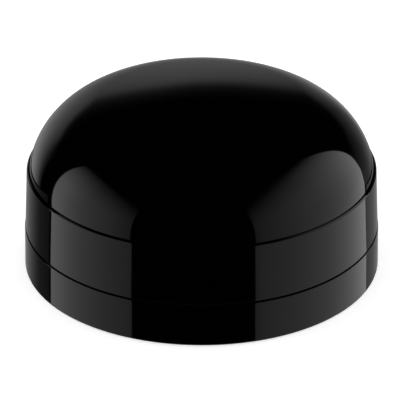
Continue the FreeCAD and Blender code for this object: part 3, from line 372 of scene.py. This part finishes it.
class Shader:
    """A material's node tree, with short ways to add and join nodes."""

    def __init__(self, name):
        self.material = bpy.data.materials.new(name)
        self.material.use_nodes = True
        self.tree = self.material.node_tree
        self.shader = self.tree.nodes["Principled BSDF"]
        self.place = self.tree.nodes.new("ShaderNodeTexCoord").outputs["Object"]

    def set(self, **values):
        """Set sockets of the surface."""
        for name, value in values.items():
            self.shader.inputs[name.replace("_", " ")].default_value = value

    def node(self, kind, **inputs):
        """A new node with some of its sockets set."""
        made = self.tree.nodes.new(kind)
        for name, value in inputs.items():
            made.inputs[name.replace("_", " ")].default_value = value
        return made

    def join(self, source, target):
        self.tree.links.new(source, target)

    def noise(self, scale, detail, roughness=0.55, stretch=None):
        """A noise texture's value, stretched along an axis if wanted."""
        texture = self.node("ShaderNodeTexNoise", Scale=scale, Detail=detail, Roughness=roughness)
        place = self.place
        if stretch:
            mapping = self.node("ShaderNodeMapping", Scale=stretch)
            self.join(place, mapping.inputs["Vector"])
            place = mapping.outputs["Vector"]
        self.join(place, texture.inputs["Vector"])
        return texture.outputs["Fac"]

    def spread(self, value, target, source=NOISE_RANGE):
        """Map a value from one range onto another."""
        node = self.node("ShaderNodeMapRange", From_Min=source[0], From_Max=source[1],
                         To_Min=target[0], To_Max=target[1])
        self.join(value, node.inputs["Value"])
        return node.outputs["Result"]

    def roughness(self, value, rough):
        """A roughness that varies over a range."""
        self.join(self.spread(value, rough), self.shader.inputs["Roughness"])

    def polish(self, value, polished, grain, textured):
        """A polished roughness, but a textured one on the face that the object stands on."""
        level = self.node("ShaderNodeSeparateXYZ")
        self.join(self.place, level.inputs["Vector"])
        heights = [height * MM for height in FOOT_FACE_END]
        choice = self.node("ShaderNodeMix")
        self.join(self.spread(level.outputs["Z"], (1.0, 0.0), heights), choice.inputs["Factor"])
        self.join(self.spread(value, polished), choice.inputs["A"])
        self.join(self.spread(grain, textured), choice.inputs["B"])
        self.join(choice.outputs["Result"], self.shader.inputs["Roughness"])

    def colours(self, value, first, second):
        """Shade from one colour to another along a texture's value."""
        ramp = self.node("ShaderNodeValToRGB")
        for element, place, colour in zip(ramp.color_ramp.elements, COLOUR_RANGE,
                                          (first, second)):
            element.position = place
            element.color = (*colour, 1)
        self.join(value, ramp.inputs["Fac"])
        self.join(ramp.outputs["Color"], self.shader.inputs["Base Color"])

    def bump(self, value, strength, distance):
        """Fine relief, its distance in millimetres."""
        node = self.node("ShaderNodeBump", Strength=strength, Distance=distance * MM)
        self.join(value, node.inputs["Height"])
        self.join(node.outputs["Normal"], self.shader.inputs["Normal"])


def gloss_plastic(name):
    """Polished black moulding: a faint waviness and a very fine haze in the polish."""
    made = Shader(name)
    made.set(Base_Color=GLOSS_BLACK, IOR=PLASTIC_IOR)
    made.polish(made.noise(260, detail=5), polished=(0.035, 0.06),
                grain=made.noise(2600, detail=6), textured=(0.36, 0.5))
    made.bump(made.noise(420, detail=2), strength=0.05, distance=0.01)
    return made.material


def rubber(name):
    """Black rubber with a fine grain."""
    made = Shader(name)
    grain = made.noise(3000, detail=6)
    made.colours(grain, (0.016, 0.016, 0.016), (0.026, 0.026, 0.026))
    made.roughness(grain, (0.62, 0.8))
    made.bump(grain, strength=0.3, distance=0.02)
    return made.material


def laminate(name):
    """Green solder resist over a woven glass laminate."""
    made = Shader(name)
    weave = made.node("ShaderNodeTexWave", Scale=260, Distortion=0.6)
    weave.wave_type = "BANDS"
    weave.bands_direction = "DIAGONAL"
    made.join(made.place, weave.inputs["Vector"])
    made.colours(made.noise(150, detail=5), (0.012, 0.12, 0.045), (0.02, 0.17, 0.065))
    made.roughness(weave.outputs["Fac"], (0.28, 0.36))
    made.bump(weave.outputs["Fac"], strength=0.2, distance=0.01)
    return made.material


def metal(name, first, second, rough, scale, stretch=None):
    """Bare or plated metal, with a brushed or turned grain if it is stretched."""
    made = Shader(name)
    made.set(Metallic=1.0)
    made.colours(made.noise(60, detail=3), first, second)
    grain = made.noise(scale, detail=4, roughness=0.6, stretch=stretch)
    made.roughness(grain, rough)
    made.bump(grain, strength=0.25, distance=0.01)
    return made.material


def compound(name, first, second, rough, scale):
    """Matt moulding compound, film, foam or ceramic: a fine even grain."""
    made = Shader(name)
    grain = made.noise(scale, detail=6, roughness=0.65)
    made.colours(made.noise(scale / 6, detail=4), first, second)
    made.roughness(grain, rough)
    made.bump(grain, strength=0.35, distance=0.015)
    return made.material


# Both colours of a finish, the range of its roughness, the scale of its grain and its stretch.
METALS = {
    "screw_steel": ((0.5, 0.5, 0.51), (0.6, 0.6, 0.61), (0.26, 0.4), 1600, (1, 1, 0.12)),
    "insert_brass": ((0.66, 0.46, 0.18), (0.78, 0.57, 0.26), (0.24, 0.38), 1600, (1, 1, 6)),
    "nickel_plate": ((0.6, 0.585, 0.55), (0.7, 0.68, 0.64), (0.16, 0.27), 1300, (1, 1, 5)),
    "contact_gold": ((0.78, 0.56, 0.2), (0.88, 0.67, 0.29), (0.18, 0.3), 2500),
    "patch_silver": ((0.7, 0.7, 0.68), (0.8, 0.8, 0.78), (0.36, 0.5), 2600),
    "shield_tin": ((0.57, 0.58, 0.59), (0.66, 0.67, 0.68), (0.3, 0.42), 1100),
    "capacitor_can": ((0.66, 0.66, 0.67), (0.75, 0.75, 0.76), (0.24, 0.36), 1500, (1, 1, 0.1)),
}
COMPOUNDS = {
    "vent_film": ((0.74, 0.74, 0.74), (0.84, 0.84, 0.83), (0.8, 0.92), 5000),
    "insert_plastic": ((0.016, 0.016, 0.018), (0.026, 0.026, 0.028), (0.42, 0.55), 1800),
    "patch_ceramic": ((0.55, 0.43, 0.32), (0.66, 0.54, 0.42), (0.6, 0.75), 2600),
    "patch_adhesive": ((0.72, 0.7, 0.62), (0.82, 0.8, 0.73), (0.7, 0.85), 2200),
    "chip_plastic": ((0.024, 0.024, 0.026), (0.038, 0.038, 0.04), (0.5, 0.66), 4200),
    "lead_jacket": ((0.024, 0.024, 0.024), (0.036, 0.036, 0.036), (0.45, 0.6), 1800),
}
MATERIALS = {
    "housing_gloss": gloss_plastic("housing_gloss"),
    "seal_rubber": rubber("seal_rubber"),
    "board_laminate": laminate("board_laminate"),
    **{name: metal(name, *values) for name, values in METALS.items()},
    **{name: compound(name, *values) for name, values in COMPOUNDS.items()},
}


def dress(thing, name):
    """Give an object one finish all over."""
    thing.data.materials.clear()
    thing.data.materials.append(MATERIALS[name])


def stand_for(thing, name, *nodes):
    """A new piece takes the place of solids, on the one body, with a slot's finish."""
    dress(thing, name)
    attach(thing, "root")
    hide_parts(*nodes)


# The housing, turned finely so that its reflections run true. Each corner of an outline is
# (radius, height, rounding).

def make_dome():
    """One moulded wall of two tangent arcs, with a skirt, its seal groove and screw bosses."""
    shoulder_z = RIM - SHOULDER_DROP
    shoulder_x = DOME_RADIUS - math.sqrt(SHOULDER_RADIUS ** 2 - SHOULDER_DROP ** 2)
    shoulder = (shoulder_x, shoulder_z)
    reach = CROWN_RADIUS - SHOULDER_RADIUS
    lean = math.degrees(math.acos(shoulder_x / reach))
    crown = (0, shoulder_z - math.sqrt(reach ** 2 - shoulder_x ** 2))
    inner_shoulder = SHOULDER_RADIUS - DOME_WALL
    start = math.degrees(math.asin((DOME_SEAT - shoulder_z) / SHOULDER_RADIUS))
    inner_end = math.degrees(math.acos((SKIRT_INSIDE - shoulder_x) / inner_shoulder))
    skirt = groove([(SKIRT_INSIDE, SKIRT_FOOT, FINE_EDGE),
                    (SKIRT_RADIUS, SKIRT_FOOT, FINE_EDGE)],
                   SKIRT_RADIUS, RING_BORE, SKIRT_SEAL)
    skirt.append((SKIRT_RADIUS, DOME_SEAT, 0))
    outside = arc(shoulder, SHOULDER_RADIUS, start, lean, SHOULDER_STEPS)
    top = arc(crown, CROWN_RADIUS, lean, 90, CROWN_STEPS)[1:]
    inner_top = arc(crown, CROWN_RADIUS - DOME_WALL, 90, lean, INNER_CROWN_STEPS)
    inside = arc(shoulder, inner_shoulder, lean, inner_end, INNER_SHOULDER_STEPS)[1:]
    section = supported(rounded(skirt, SKIRT_EDGE_STEPS), closed=False)
    dome = lathe("dome_shell", section + outside + top + inner_top + inside)
    combine(dome, [
        (rods("bosses", SCREWS, SCREW_BOSS, BOSS_FOOT, BOSS_TOP), "UNION"),
        (webs("boss_webs", SCREW_COUNT, SCREW_CIRCLE, (SKIRT_INSIDE + SKIRT_RADIUS) / 2,
              BOSS_WEB_WIDTH, SKIRT_FOOT, BOSS_TOP), "UNION"),
        (rods("pilots", SCREWS, SCREW_HOLE, BOSS_FOOT - CUT_PAST, SCREW_PILOT_TOP),
         "DIFFERENCE"),
    ])
    stand_for(dome, "housing_gloss", "radome")


def make_upper_band():
    """The ring round the dome: rim, lip, seat, flange and spigot, over the slit."""
    slit_root = RING_FOOT_RADIUS - SLIT_DEPTH
    outline = groove([(SPIGOT_INSIDE, SPIGOT_FOOT, SOFT_EDGE),
                      (SPIGOT_RADIUS, SPIGOT_FOOT, SOFT_EDGE)],
                     SPIGOT_RADIUS, BASE_BORE, SPIGOT_SEAL)
    outline += [
        (SPIGOT_RADIUS, BASE_HEIGHT, 0),
        (slit_root, BASE_HEIGHT, 0),
        (slit_root, RING_FOOT, 0),
        (RING_FOOT_RADIUS, RING_FOOT, SLIT_EDGE),
        (RING_RIM_RADIUS, RIM - RIM_BEVEL, RIM_FOOT_EDGE),
        (RING_RIM_RADIUS - RIM_BEVEL, RIM, RIM_TOP_EDGE),
        (LIP_RADIUS, RIM, LIP_EDGE),
        (LIP_RADIUS, DOME_SEAT, 0),
        (RING_BORE, DOME_SEAT, 0),
        (RING_BORE, FLANGE_TOP, SOFT_EDGE),
        (FLANGE_REACH, FLANGE_TOP, FINE_EDGE),
        (FLANGE_REACH, BASE_HEIGHT, FINE_EDGE),
        (SPIGOT_INSIDE, BASE_HEIGHT, 0),
    ]
    band = lathe("upper_band", supported(rounded(outline, UPPER_EDGE_STEPS)))
    holes = rods("holes", SCREWS, SCREW_HOLE, BASE_HEIGHT - CUT_PAST, FLANGE_TOP + CUT_PAST)
    combine(band, [(holes, "DIFFERENCE")])
    stand_for(band, "housing_gloss", "housing_ring")


def make_lower_band():
    """The base: side wall, floor and well, with ribs, bosses, posts and their holes."""
    well_outside = WELL_RADIUS + WELL_WALL
    well_top = WELL_DEPTH + WELL_WALL
    band = lathe("lower_band", supported(rounded([
        (WELL_RADIUS, 0, SOFT_EDGE),
        (FOOT_RADIUS, 0, FOOT_FILLET),
        (BASE_TOP_RADIUS, BASE_HEIGHT, SLIT_EDGE),
        (BASE_BORE, BASE_HEIGHT, FINE_EDGE),
        (BASE_BORE, BASE_FLOOR, MOULD_CORNER),
        (well_outside, BASE_FLOOR, MOULD_CORNER),
        (well_outside, well_top, MOULD_CORNER),
        (SHANK_HOLE, well_top, 0),
        (SHANK_HOLE, WELL_DEPTH, 0),
        (WELL_RADIUS, WELL_DEPTH, MOULD_CORNER),
    ], LOWER_EDGE_STEPS)))
    root = BASE_FLOOR / 2
    combine(band, [
        (webs("ribs", RIB_COUNT, WELL_RADIUS + WELL_WALL / 2, BASE_BORE + CUT_PAST, RIB_WIDTH,
              root, RIB_TOP), "UNION"),
        (rods("screw_bosses", SCREWS, SCREW_BOSS, root, BASE_HEIGHT), "UNION"),
        (rods("insert_bosses", INSERTS, INSERT_BOSS, root, INSERT_BOSS_TOP), "UNION"),
        (rods("posts", POSTS, POST_RADIUS, root, POST_TOP), "UNION"),
        (rods("heads", SCREWS, SCREW_HEAD_HOLE, -CUT_PAST, SCREW_SEAT), "DIFFERENCE"),
        (rods("shanks", SCREWS, SCREW_HOLE, SCREW_SEAT - JOIN_DEPTH, BASE_HEIGHT + CUT_PAST),
         "DIFFERENCE"),
        (rods("pockets", INSERTS, INSERT_HOLE, -CUT_PAST, INSERT_POCKET), "DIFFERENCE"),
        (rods("studs", POSTS, STUD_HOLE, STUD_FOOT, POST_TOP + CUT_PAST), "DIFFERENCE"),
        (rods("vent", VENT, VENT_HOLE, -CUT_PAST, BASE_FLOOR + CUT_PAST, VENT_SIDES),
         "DIFFERENCE"),
    ])
    stand_for(band, "housing_gloss", "base_housing")


# The connector's shell, with its thread.

def thread_wave(height, angle, low, high):
    """Depth of the thread from 0 at its crest to 1 at its root, fading out at both ends."""
    turn = height / THREAD_PITCH - angle / TURN
    share = turn - math.floor(turn)
    slope = min(1.0, max(0.0, (abs(share - 0.5) * 2 - THREAD_CREST) / THREAD_FLANKS))
    fade = min(1.0, (height - low) / THREAD_PITCH, (high - height) / THREAD_PITCH)
    return slope * max(0.0, fade)


def thread_row(shape, height):
    """A ring of corners on the threaded outside."""
    ring = []
    bevel = max(0.0, SHELL_TIP + THREAD_BEVEL - height)
    for side in range(SHELL_SIDES):
        angle = TURN * side / SHELL_SIDES
        depth = THREAD_DEPTH * thread_wave(height, angle, SHELL_TIP + THREAD_RUN_IN,
                                           SHELL_FLANGE_FOOT - THREAD_RUN_OUT)
        radius = (THREAD_RADIUS - max(depth, bevel)) * MM
        ring.append(shape.verts.new((radius * math.cos(angle), radius * math.sin(angle),
                                     height * MM)))
    return ring


def make_shell():
    """A threaded tube below, and a hexagonal flange with a plain shank above."""
    shape = bmesh.new()
    tube_top = SHELL_FLANGE_FOOT + TUBE_DEPTH
    rings = [thread_row(shape, SHELL_TIP + (tube_top - SHELL_TIP) * row / THREAD_ROWS)
             for row in range(THREAD_ROWS + 1)]
    rings += [circle(shape, radius, height, SHELL_SIDES) for radius, height in (
        (SHELL_BORE, tube_top),
        (SHELL_BORE, SHELL_TIP + BORE_BEVEL),
        (SHELL_BORE + BORE_BEVEL, SHELL_TIP),
    )]
    for index, low in enumerate(rings):
        bridge(shape, low, rings[(index + 1) % len(rings)])
    tube = finished("connector_tube", shape, THREAD_SHARP)

    shape = bmesh.new()
    prism(shape, [circle(shape, radius, height, HEXAGON_SIDES) for radius, height in (
        (HEXAGON_RADIUS - HEXAGON_BEVEL, SHELL_FLANGE_FOOT),
        (HEXAGON_RADIUS, SHELL_FLANGE_FOOT + HEXAGON_BEVEL_HEIGHT),
        (HEXAGON_RADIUS, SHELL_FLANGE_TOP),
    )])
    flange = finished("connector_flange", shape)
    combine(flange, [
        (rods("shank", AXIS, THREAD_RADIUS, SHELL_FLANGE_TOP - JOIN_DEPTH, SHANK_TOP,
              SHELL_SIDES), "UNION"),
        (rods("bore", AXIS, SHELL_BORE, SHELL_FLANGE_FOOT - JOIN_DEPTH, SHANK_TOP + CUT_PAST,
              SHELL_SIDES), "DIFFERENCE"),
    ])
    for thing in (tube, flange):
        stand_for(thing, "nickel_plate", "connector_shell")


make_dome()
make_upper_band()
make_lower_band()
make_shell()

slots = {entry["node"]: entry["material_slot"] for entry in frame["record"]["subparts"]}
for node, thing in frame["nodes"].items():
    dress(thing, slots[node])


# The studio, in metres: a pale floor, soft lamps, and cards in a dark tent for the gloss.
REACH = 3.0
BACK_REACH = 1.15 * REACH
TENT_RADIUS = 3.2 * REACH
CARD_STEPS = 40
FLOOR_HALF = 12.0
FLOOR_LEVEL = -0.0001
FLOOR_COLOUR = (0.8, 0.8, 0.8, 1)
FLOOR_GLOW = 0.5
WORLD_ON_SURFACES = 0.76
LAMP_PLACES = {"lamp_left": (-1.6, 0.2, 1.5), "lamp_right": (1.6, 0.2, 1.5)}
LAMP_WIDTH = 1.6
LAMP_POWER = 10
CAMERA_LENS = 316
CAMERA_SENSOR = 36
CAMERA_CLIP = (0.01, 100)
CAMERA_PLACE = (-0.000406, -0.80226, 0.43645)
CAMERA_TILT = 62.397


def ramp(tree, source, stops):
    """A run of light along a card, from (place, level) stops, both from 0 to 1."""
    node = tree.nodes.new("ShaderNodeValToRGB")
    elements = node.color_ramp.elements
    while len(elements) < len(stops):
        elements.new(0.5)
    for element, (place, level) in zip(elements, stops):
        element.position = place
        element.color = (level, level, level, 1)
    tree.links.new(source, node.inputs["Fac"])
    return node.outputs["Color"]


def blended(tree, kind, share, first, second):
    """Two colours blended, wholly if no share is given."""
    node = tree.nodes.new("ShaderNodeMix")
    node.data_type = "RGBA"
    node.blend_type = kind
    if share is None:
        node.inputs["Factor"].default_value = 1.0
    else:
        tree.links.new(share, node.inputs["Factor"])
    tree.links.new(first, node.inputs["A"])
    tree.links.new(second, node.inputs["B"])
    return node.outputs["Result"]


def bare_material(name):
    """A material with nothing but its output: the material, its tree and the socket to join."""
    material = bpy.data.materials.new(name)
    material.use_nodes = True
    tree = material.node_tree
    tree.nodes.clear()
    return material, tree, tree.nodes.new("ShaderNodeOutputMaterial").inputs["Surface"]


def glow_material(name, strength, upper, lower, change, upwards):
    """Light that runs from one profile at the card's foot to another above, and fades upwards."""
    material, tree, surface = bare_material(name)
    glow = tree.nodes.new("ShaderNodeEmission")
    glow.inputs["Strength"].default_value = strength
    tree.links.new(glow.outputs["Emission"], surface)
    place = tree.nodes.new("ShaderNodeTexCoord")
    split = tree.nodes.new("ShaderNodeSeparateXYZ")
    tree.links.new(place.outputs["UV"], split.inputs["Vector"])
    share = ramp(tree, split.outputs["Y"], [(change[0], 0.0), (change[1], 1.0)])
    across = blended(tree, "MIX", share, ramp(tree, split.outputs["X"], lower),
                     ramp(tree, split.outputs["X"], upper))
    level = blended(tree, "MULTIPLY", None, across, ramp(tree, split.outputs["Y"], upwards))
    tree.links.new(level, glow.inputs["Color"])
    return material


def between(stops, share):
    """The value at a share of the way along (share, value) stops."""
    for (start, first), (end, last) in zip(stops, stops[1:]):
        if share <= end:
            return first + (last - first) * (share - start) / (end - start)
    return stops[-1][1]


def flat(value):
    """Stops that stay at one value."""
    return [(0.0, value), (1.0, value)]


def only_glossy(thing):
    """Seen in reflections alone, and part of the studio."""
    thing.visible_camera = False
    thing.visible_diffuse = False
    thing.visible_shadow = False
    thing.visible_volume_scatter = False


def card(name, place, left, right, foot, top, strength, upper, lower, change, upwards):
    """A softbox card on a grid: its sides and its upper edge follow (share, place) stops."""
    mesh = bpy.data.meshes.new(name)
    corners = []
    places = []
    for row in range(CARD_STEPS + 1):
        for column in range(CARD_STEPS + 1):
            across = column / CARD_STEPS
            up = row / CARD_STEPS
            start = between(left, up)
            end = between(right, up)
            height = foot + (between(top, across) - foot) * up
            corners.append(place(start + (end - start) * across, height))
            places.append((across, up))
    faces = []
    for row in range(CARD_STEPS):
        for column in range(CARD_STEPS):
            first = row * (CARD_STEPS + 1) + column
            above = first + CARD_STEPS + 1
            faces.append((first, first + 1, above + 1, above))
    mesh.from_pydata(corners, [], faces)
    layer = mesh.uv_layers.new(name="card")
    for loop in mesh.loops:
        layer.data[loop.index].uv = places[loop.vertex_index]
    mesh.materials.append(glow_material(name, strength, upper, lower, change, upwards))
    only_glossy(add(name, mesh))


# Where the cards stand: places on the studio's walls and ground, from shares of their reach.

def on_left(across, up):
    return -REACH, across * REACH, up * REACH


def on_right(across, up):
    return REACH, across * REACH, up * REACH


def at_back(across, up):
    return across * BACK_REACH, BACK_REACH, up * BACK_REACH


def on_ground(across, up):
    return across * REACH, up * REACH, -REACH


def make_reflections():
    """Side softboxes, dim cards behind and below, and a dark tent round them all."""
    card("softbox_left", on_left,
         left=[(0.0, -0.985), (1.0, -1.0)],
         right=[(0.0, 0.468), (0.21, 0.468), (0.24, 0.442), (0.31, 0.442), (0.38, 0.383),
                (1.0, 0.381)],
         foot=-1.0,
         top=[(0.0, 0.93), (0.5, 0.92), (0.72, 0.905), (0.82, 0.885), (0.92, 0.86), (1.0, 0.82)],
         strength=1.2,
         upper=[(0.0, 0.17), (0.175, 0.255), (0.43, 0.43), (0.61, 0.56), (0.785, 0.82),
                (0.87, 0.95), (1.0, 0.98)],
         lower=[(0.0, 0.26), (0.17, 0.325), (0.42, 0.41), (0.59, 0.5), (0.76, 0.58),
                (0.84, 0.64), (1.0, 0.66)],
         change=(0.18, 0.47),
         upwards=[(0.62, 1.0), (0.69, 0.91), (0.8, 0.6), (0.9, 0.28), (1.0, 0.0)])
    card("softbox_right", on_right,
         left=[(0.0, -1.45), (1.0, -1.55)],
         right=[(0.0, 1.03), (0.163, 0.98), (0.24, 0.9), (0.288, 0.885), (0.317, 0.868),
                (0.346, 0.852), (0.394, 0.85), (0.422, 0.838), (0.461, 0.829), (0.557, 0.818),
                (0.71, 0.785), (0.835, 0.73), (0.92, 0.665), (1.0, 0.58)],
         foot=-1.1,
         top=[(0.0, 1.59), (0.5, 1.56), (0.67, 1.54), (0.75, 1.51), (0.83, 1.47), (0.91, 1.42),
              (1.0, 1.39)],
         strength=1.26,
         upper=[(0.0, 0.133), (0.11, 0.19), (0.26, 0.248), (0.41, 0.333), (0.56, 0.452),
                (0.63, 0.524), (0.78, 0.75), (0.85, 0.88), (0.93, 0.98), (1.0, 1.0)],
         lower=[(0.0, 0.21), (0.1, 0.28), (0.34, 0.37), (0.46, 0.42), (0.58, 0.5), (0.7, 0.595),
                (0.81, 0.66), (1.0, 0.76)],
         change=(0.135, 0.355),
         upwards=[(0.54, 1.0), (0.635, 0.86), (0.77, 0.49), (0.866, 0.225), (0.92, 0.09),
                  (0.96, 0.035), (1.0, 0.0)])
    card("card_behind", at_back, left=flat(-1.3), right=flat(1.15), foot=-0.405,
         top=[(0.0, 0.555), (0.37, 0.56), (0.43, 0.56), (0.5, 0.54), (0.53, 0.505),
              (0.57, 0.495), (0.68, 0.44), (0.93, 0.38), (1.0, 0.36)],
         strength=0.62,
         upper=[(0.0, 0.0), (0.121, 0.03), (0.205, 0.26), (0.288, 0.345), (0.447, 0.405),
                (0.52, 0.44), (0.568, 0.34), (0.614, 0.165), (0.7, 0.065), (0.93, 0.03),
                (1.0, 0.03)],
         lower=[(0.0, 0.024), (0.074, 0.24), (0.121, 0.52), (0.205, 0.82), (0.288, 0.93),
                (0.372, 0.74), (0.465, 0.48), (0.53, 0.54), (0.614, 0.81), (0.689, 0.37),
                (0.772, 0.31), (0.856, 0.2), (0.93, 0.19), (1.0, 0.19)],
         change=(0.13, 0.81),
         upwards=[(0.74, 1.0), (0.8, 0.82), (0.85, 0.34), (0.885, 0.14), (0.94, 0.05),
                  (1.0, 0.0)])
    low = [(0.0, 0.13), (0.27, 0.17), (0.33, 0.25), (0.4, 0.42), (0.47, 0.6), (0.6, 0.9),
           (0.67, 0.93), (0.73, 0.9), (0.87, 0.67), (1.0, 0.57)]
    card("card_low", at_back, left=flat(-2.0), right=flat(1.0), foot=-1.4, top=flat(-0.43),
         strength=0.35, upper=low, lower=low, change=(0.0, 1.0), upwards=flat(1.0))
    below = [(0.0, 0.35), (0.3, 0.7), (0.6, 1.0), (1.0, 0.45)]
    card("card_below", on_ground, left=flat(-1.0), right=flat(1.0), foot=-1.0, top=flat(1.0),
         strength=0.6, upper=below, lower=below, change=(0.0, 1.0), upwards=below)

    shape = bmesh.new()
    bmesh.ops.create_icosphere(shape, subdivisions=4, radius=TENT_RADIUS)
    mesh = bpy.data.meshes.new("dark_tent")
    shape.to_mesh(mesh)
    shape.free()
    mesh.materials.append(glow_material("dark_tent", strength=0.0, upper=flat(0.0),
                                        lower=flat(0.0), change=(0.0, 1.0), upwards=flat(0.0)))
    only_glossy(add("dark_tent", mesh))


def make_floor():
    """A pale floor with the object's shadow, open from below so that the underside shows."""
    material, tree, surface = bare_material("pale_floor")
    pale = tree.nodes.new("ShaderNodeBsdfDiffuse")
    pale.inputs["Color"].default_value = FLOOR_COLOUR
    glow = tree.nodes.new("ShaderNodeEmission")
    glow.inputs["Strength"].default_value = FLOOR_GLOW
    both = tree.nodes.new("ShaderNodeAddShader")
    clear = tree.nodes.new("ShaderNodeBsdfTransparent")
    facing = tree.nodes.new("ShaderNodeNewGeometry")
    choice = tree.nodes.new("ShaderNodeMixShader")
    tree.links.new(pale.outputs["BSDF"], both.inputs[0])
    tree.links.new(glow.outputs["Emission"], both.inputs[1])
    tree.links.new(facing.outputs["Backfacing"], choice.inputs["Fac"])
    tree.links.new(both.outputs["Shader"], choice.inputs[1])
    tree.links.new(clear.outputs["BSDF"], choice.inputs[2])
    tree.links.new(choice.outputs["Shader"], surface)

    mesh = bpy.data.meshes.new("floor")
    corners = [(x * FLOOR_HALF, y * FLOOR_HALF, FLOOR_LEVEL)
               for x, y in ((-1, -1), (1, -1), (1, 1), (-1, 1))]
    mesh.from_pydata(corners, [], [(0, 1, 2, 3)])
    mesh.materials.append(material)
    floor = add("floor", mesh)
    floor.visible_diffuse = False
    floor.visible_glossy = False
    floor.visible_shadow = False


def larger(tree, first, second):
    """The larger of two values."""
    node = tree.nodes.new("ShaderNodeMath")
    node.operation = "MAXIMUM"
    tree.links.new(first, node.inputs[0])
    tree.links.new(second, node.inputs[1])
    return node.outputs["Value"]


def make_world():
    """White to the camera and to reflections and glass, and an even soft light on surfaces."""
    world = bpy.data.worlds.new("studio")
    bpy.context.scene.world = world
    world.use_nodes = True
    tree = world.node_tree
    background = tree.nodes["Background"]
    path = tree.nodes.new("ShaderNodeLightPath")
    seen = larger(tree, path.outputs["Is Camera Ray"], path.outputs["Is Glossy Ray"])
    white = larger(tree, seen, path.outputs["Is Transmission Ray"])
    level = tree.nodes.new("ShaderNodeMapRange")
    level.inputs["To Min"].default_value = WORLD_ON_SURFACES
    level.inputs["To Max"].default_value = 1.0
    tree.links.new(white, level.inputs["Value"])
    tree.links.new(level.outputs["Result"], background.inputs["Strength"])
    background.inputs["Color"].default_value = (1, 1, 1, 1)


def make_lamp(name, place):
    """A soft square lamp that faces the object and isn't seen."""
    light = bpy.data.lights.new(name, "AREA")
    light.shape = "SQUARE"
    light.size = LAMP_WIDTH
    light.energy = LAMP_POWER
    lamp = add(name, light)
    lamp.location = place
    lamp.rotation_euler = (-Vector(place)).to_track_quat("-Z", "Y").to_euler()
    lamp.visible_glossy = False
    lamp.visible_camera = False


def make_camera():
    """The photograph's view, fitted to its rims, seams and outline."""
    view = bpy.data.cameras.new("camera")
    view.lens = CAMERA_LENS
    view.sensor_width = CAMERA_SENSOR
    view.clip_start, view.clip_end = CAMERA_CLIP
    camera = add("camera", view)
    camera.location = CAMERA_PLACE
    camera.rotation_euler = (math.radians(CAMERA_TILT), 0, 0)
    bpy.context.scene.camera = camera


make_reflections()
make_floor()
make_world()
for lamp_name, lamp_place in LAMP_PLACES.items():
    make_lamp(lamp_name, lamp_place)
make_camera()
bpy.context.scene.view_settings.view_transform = "Standard"
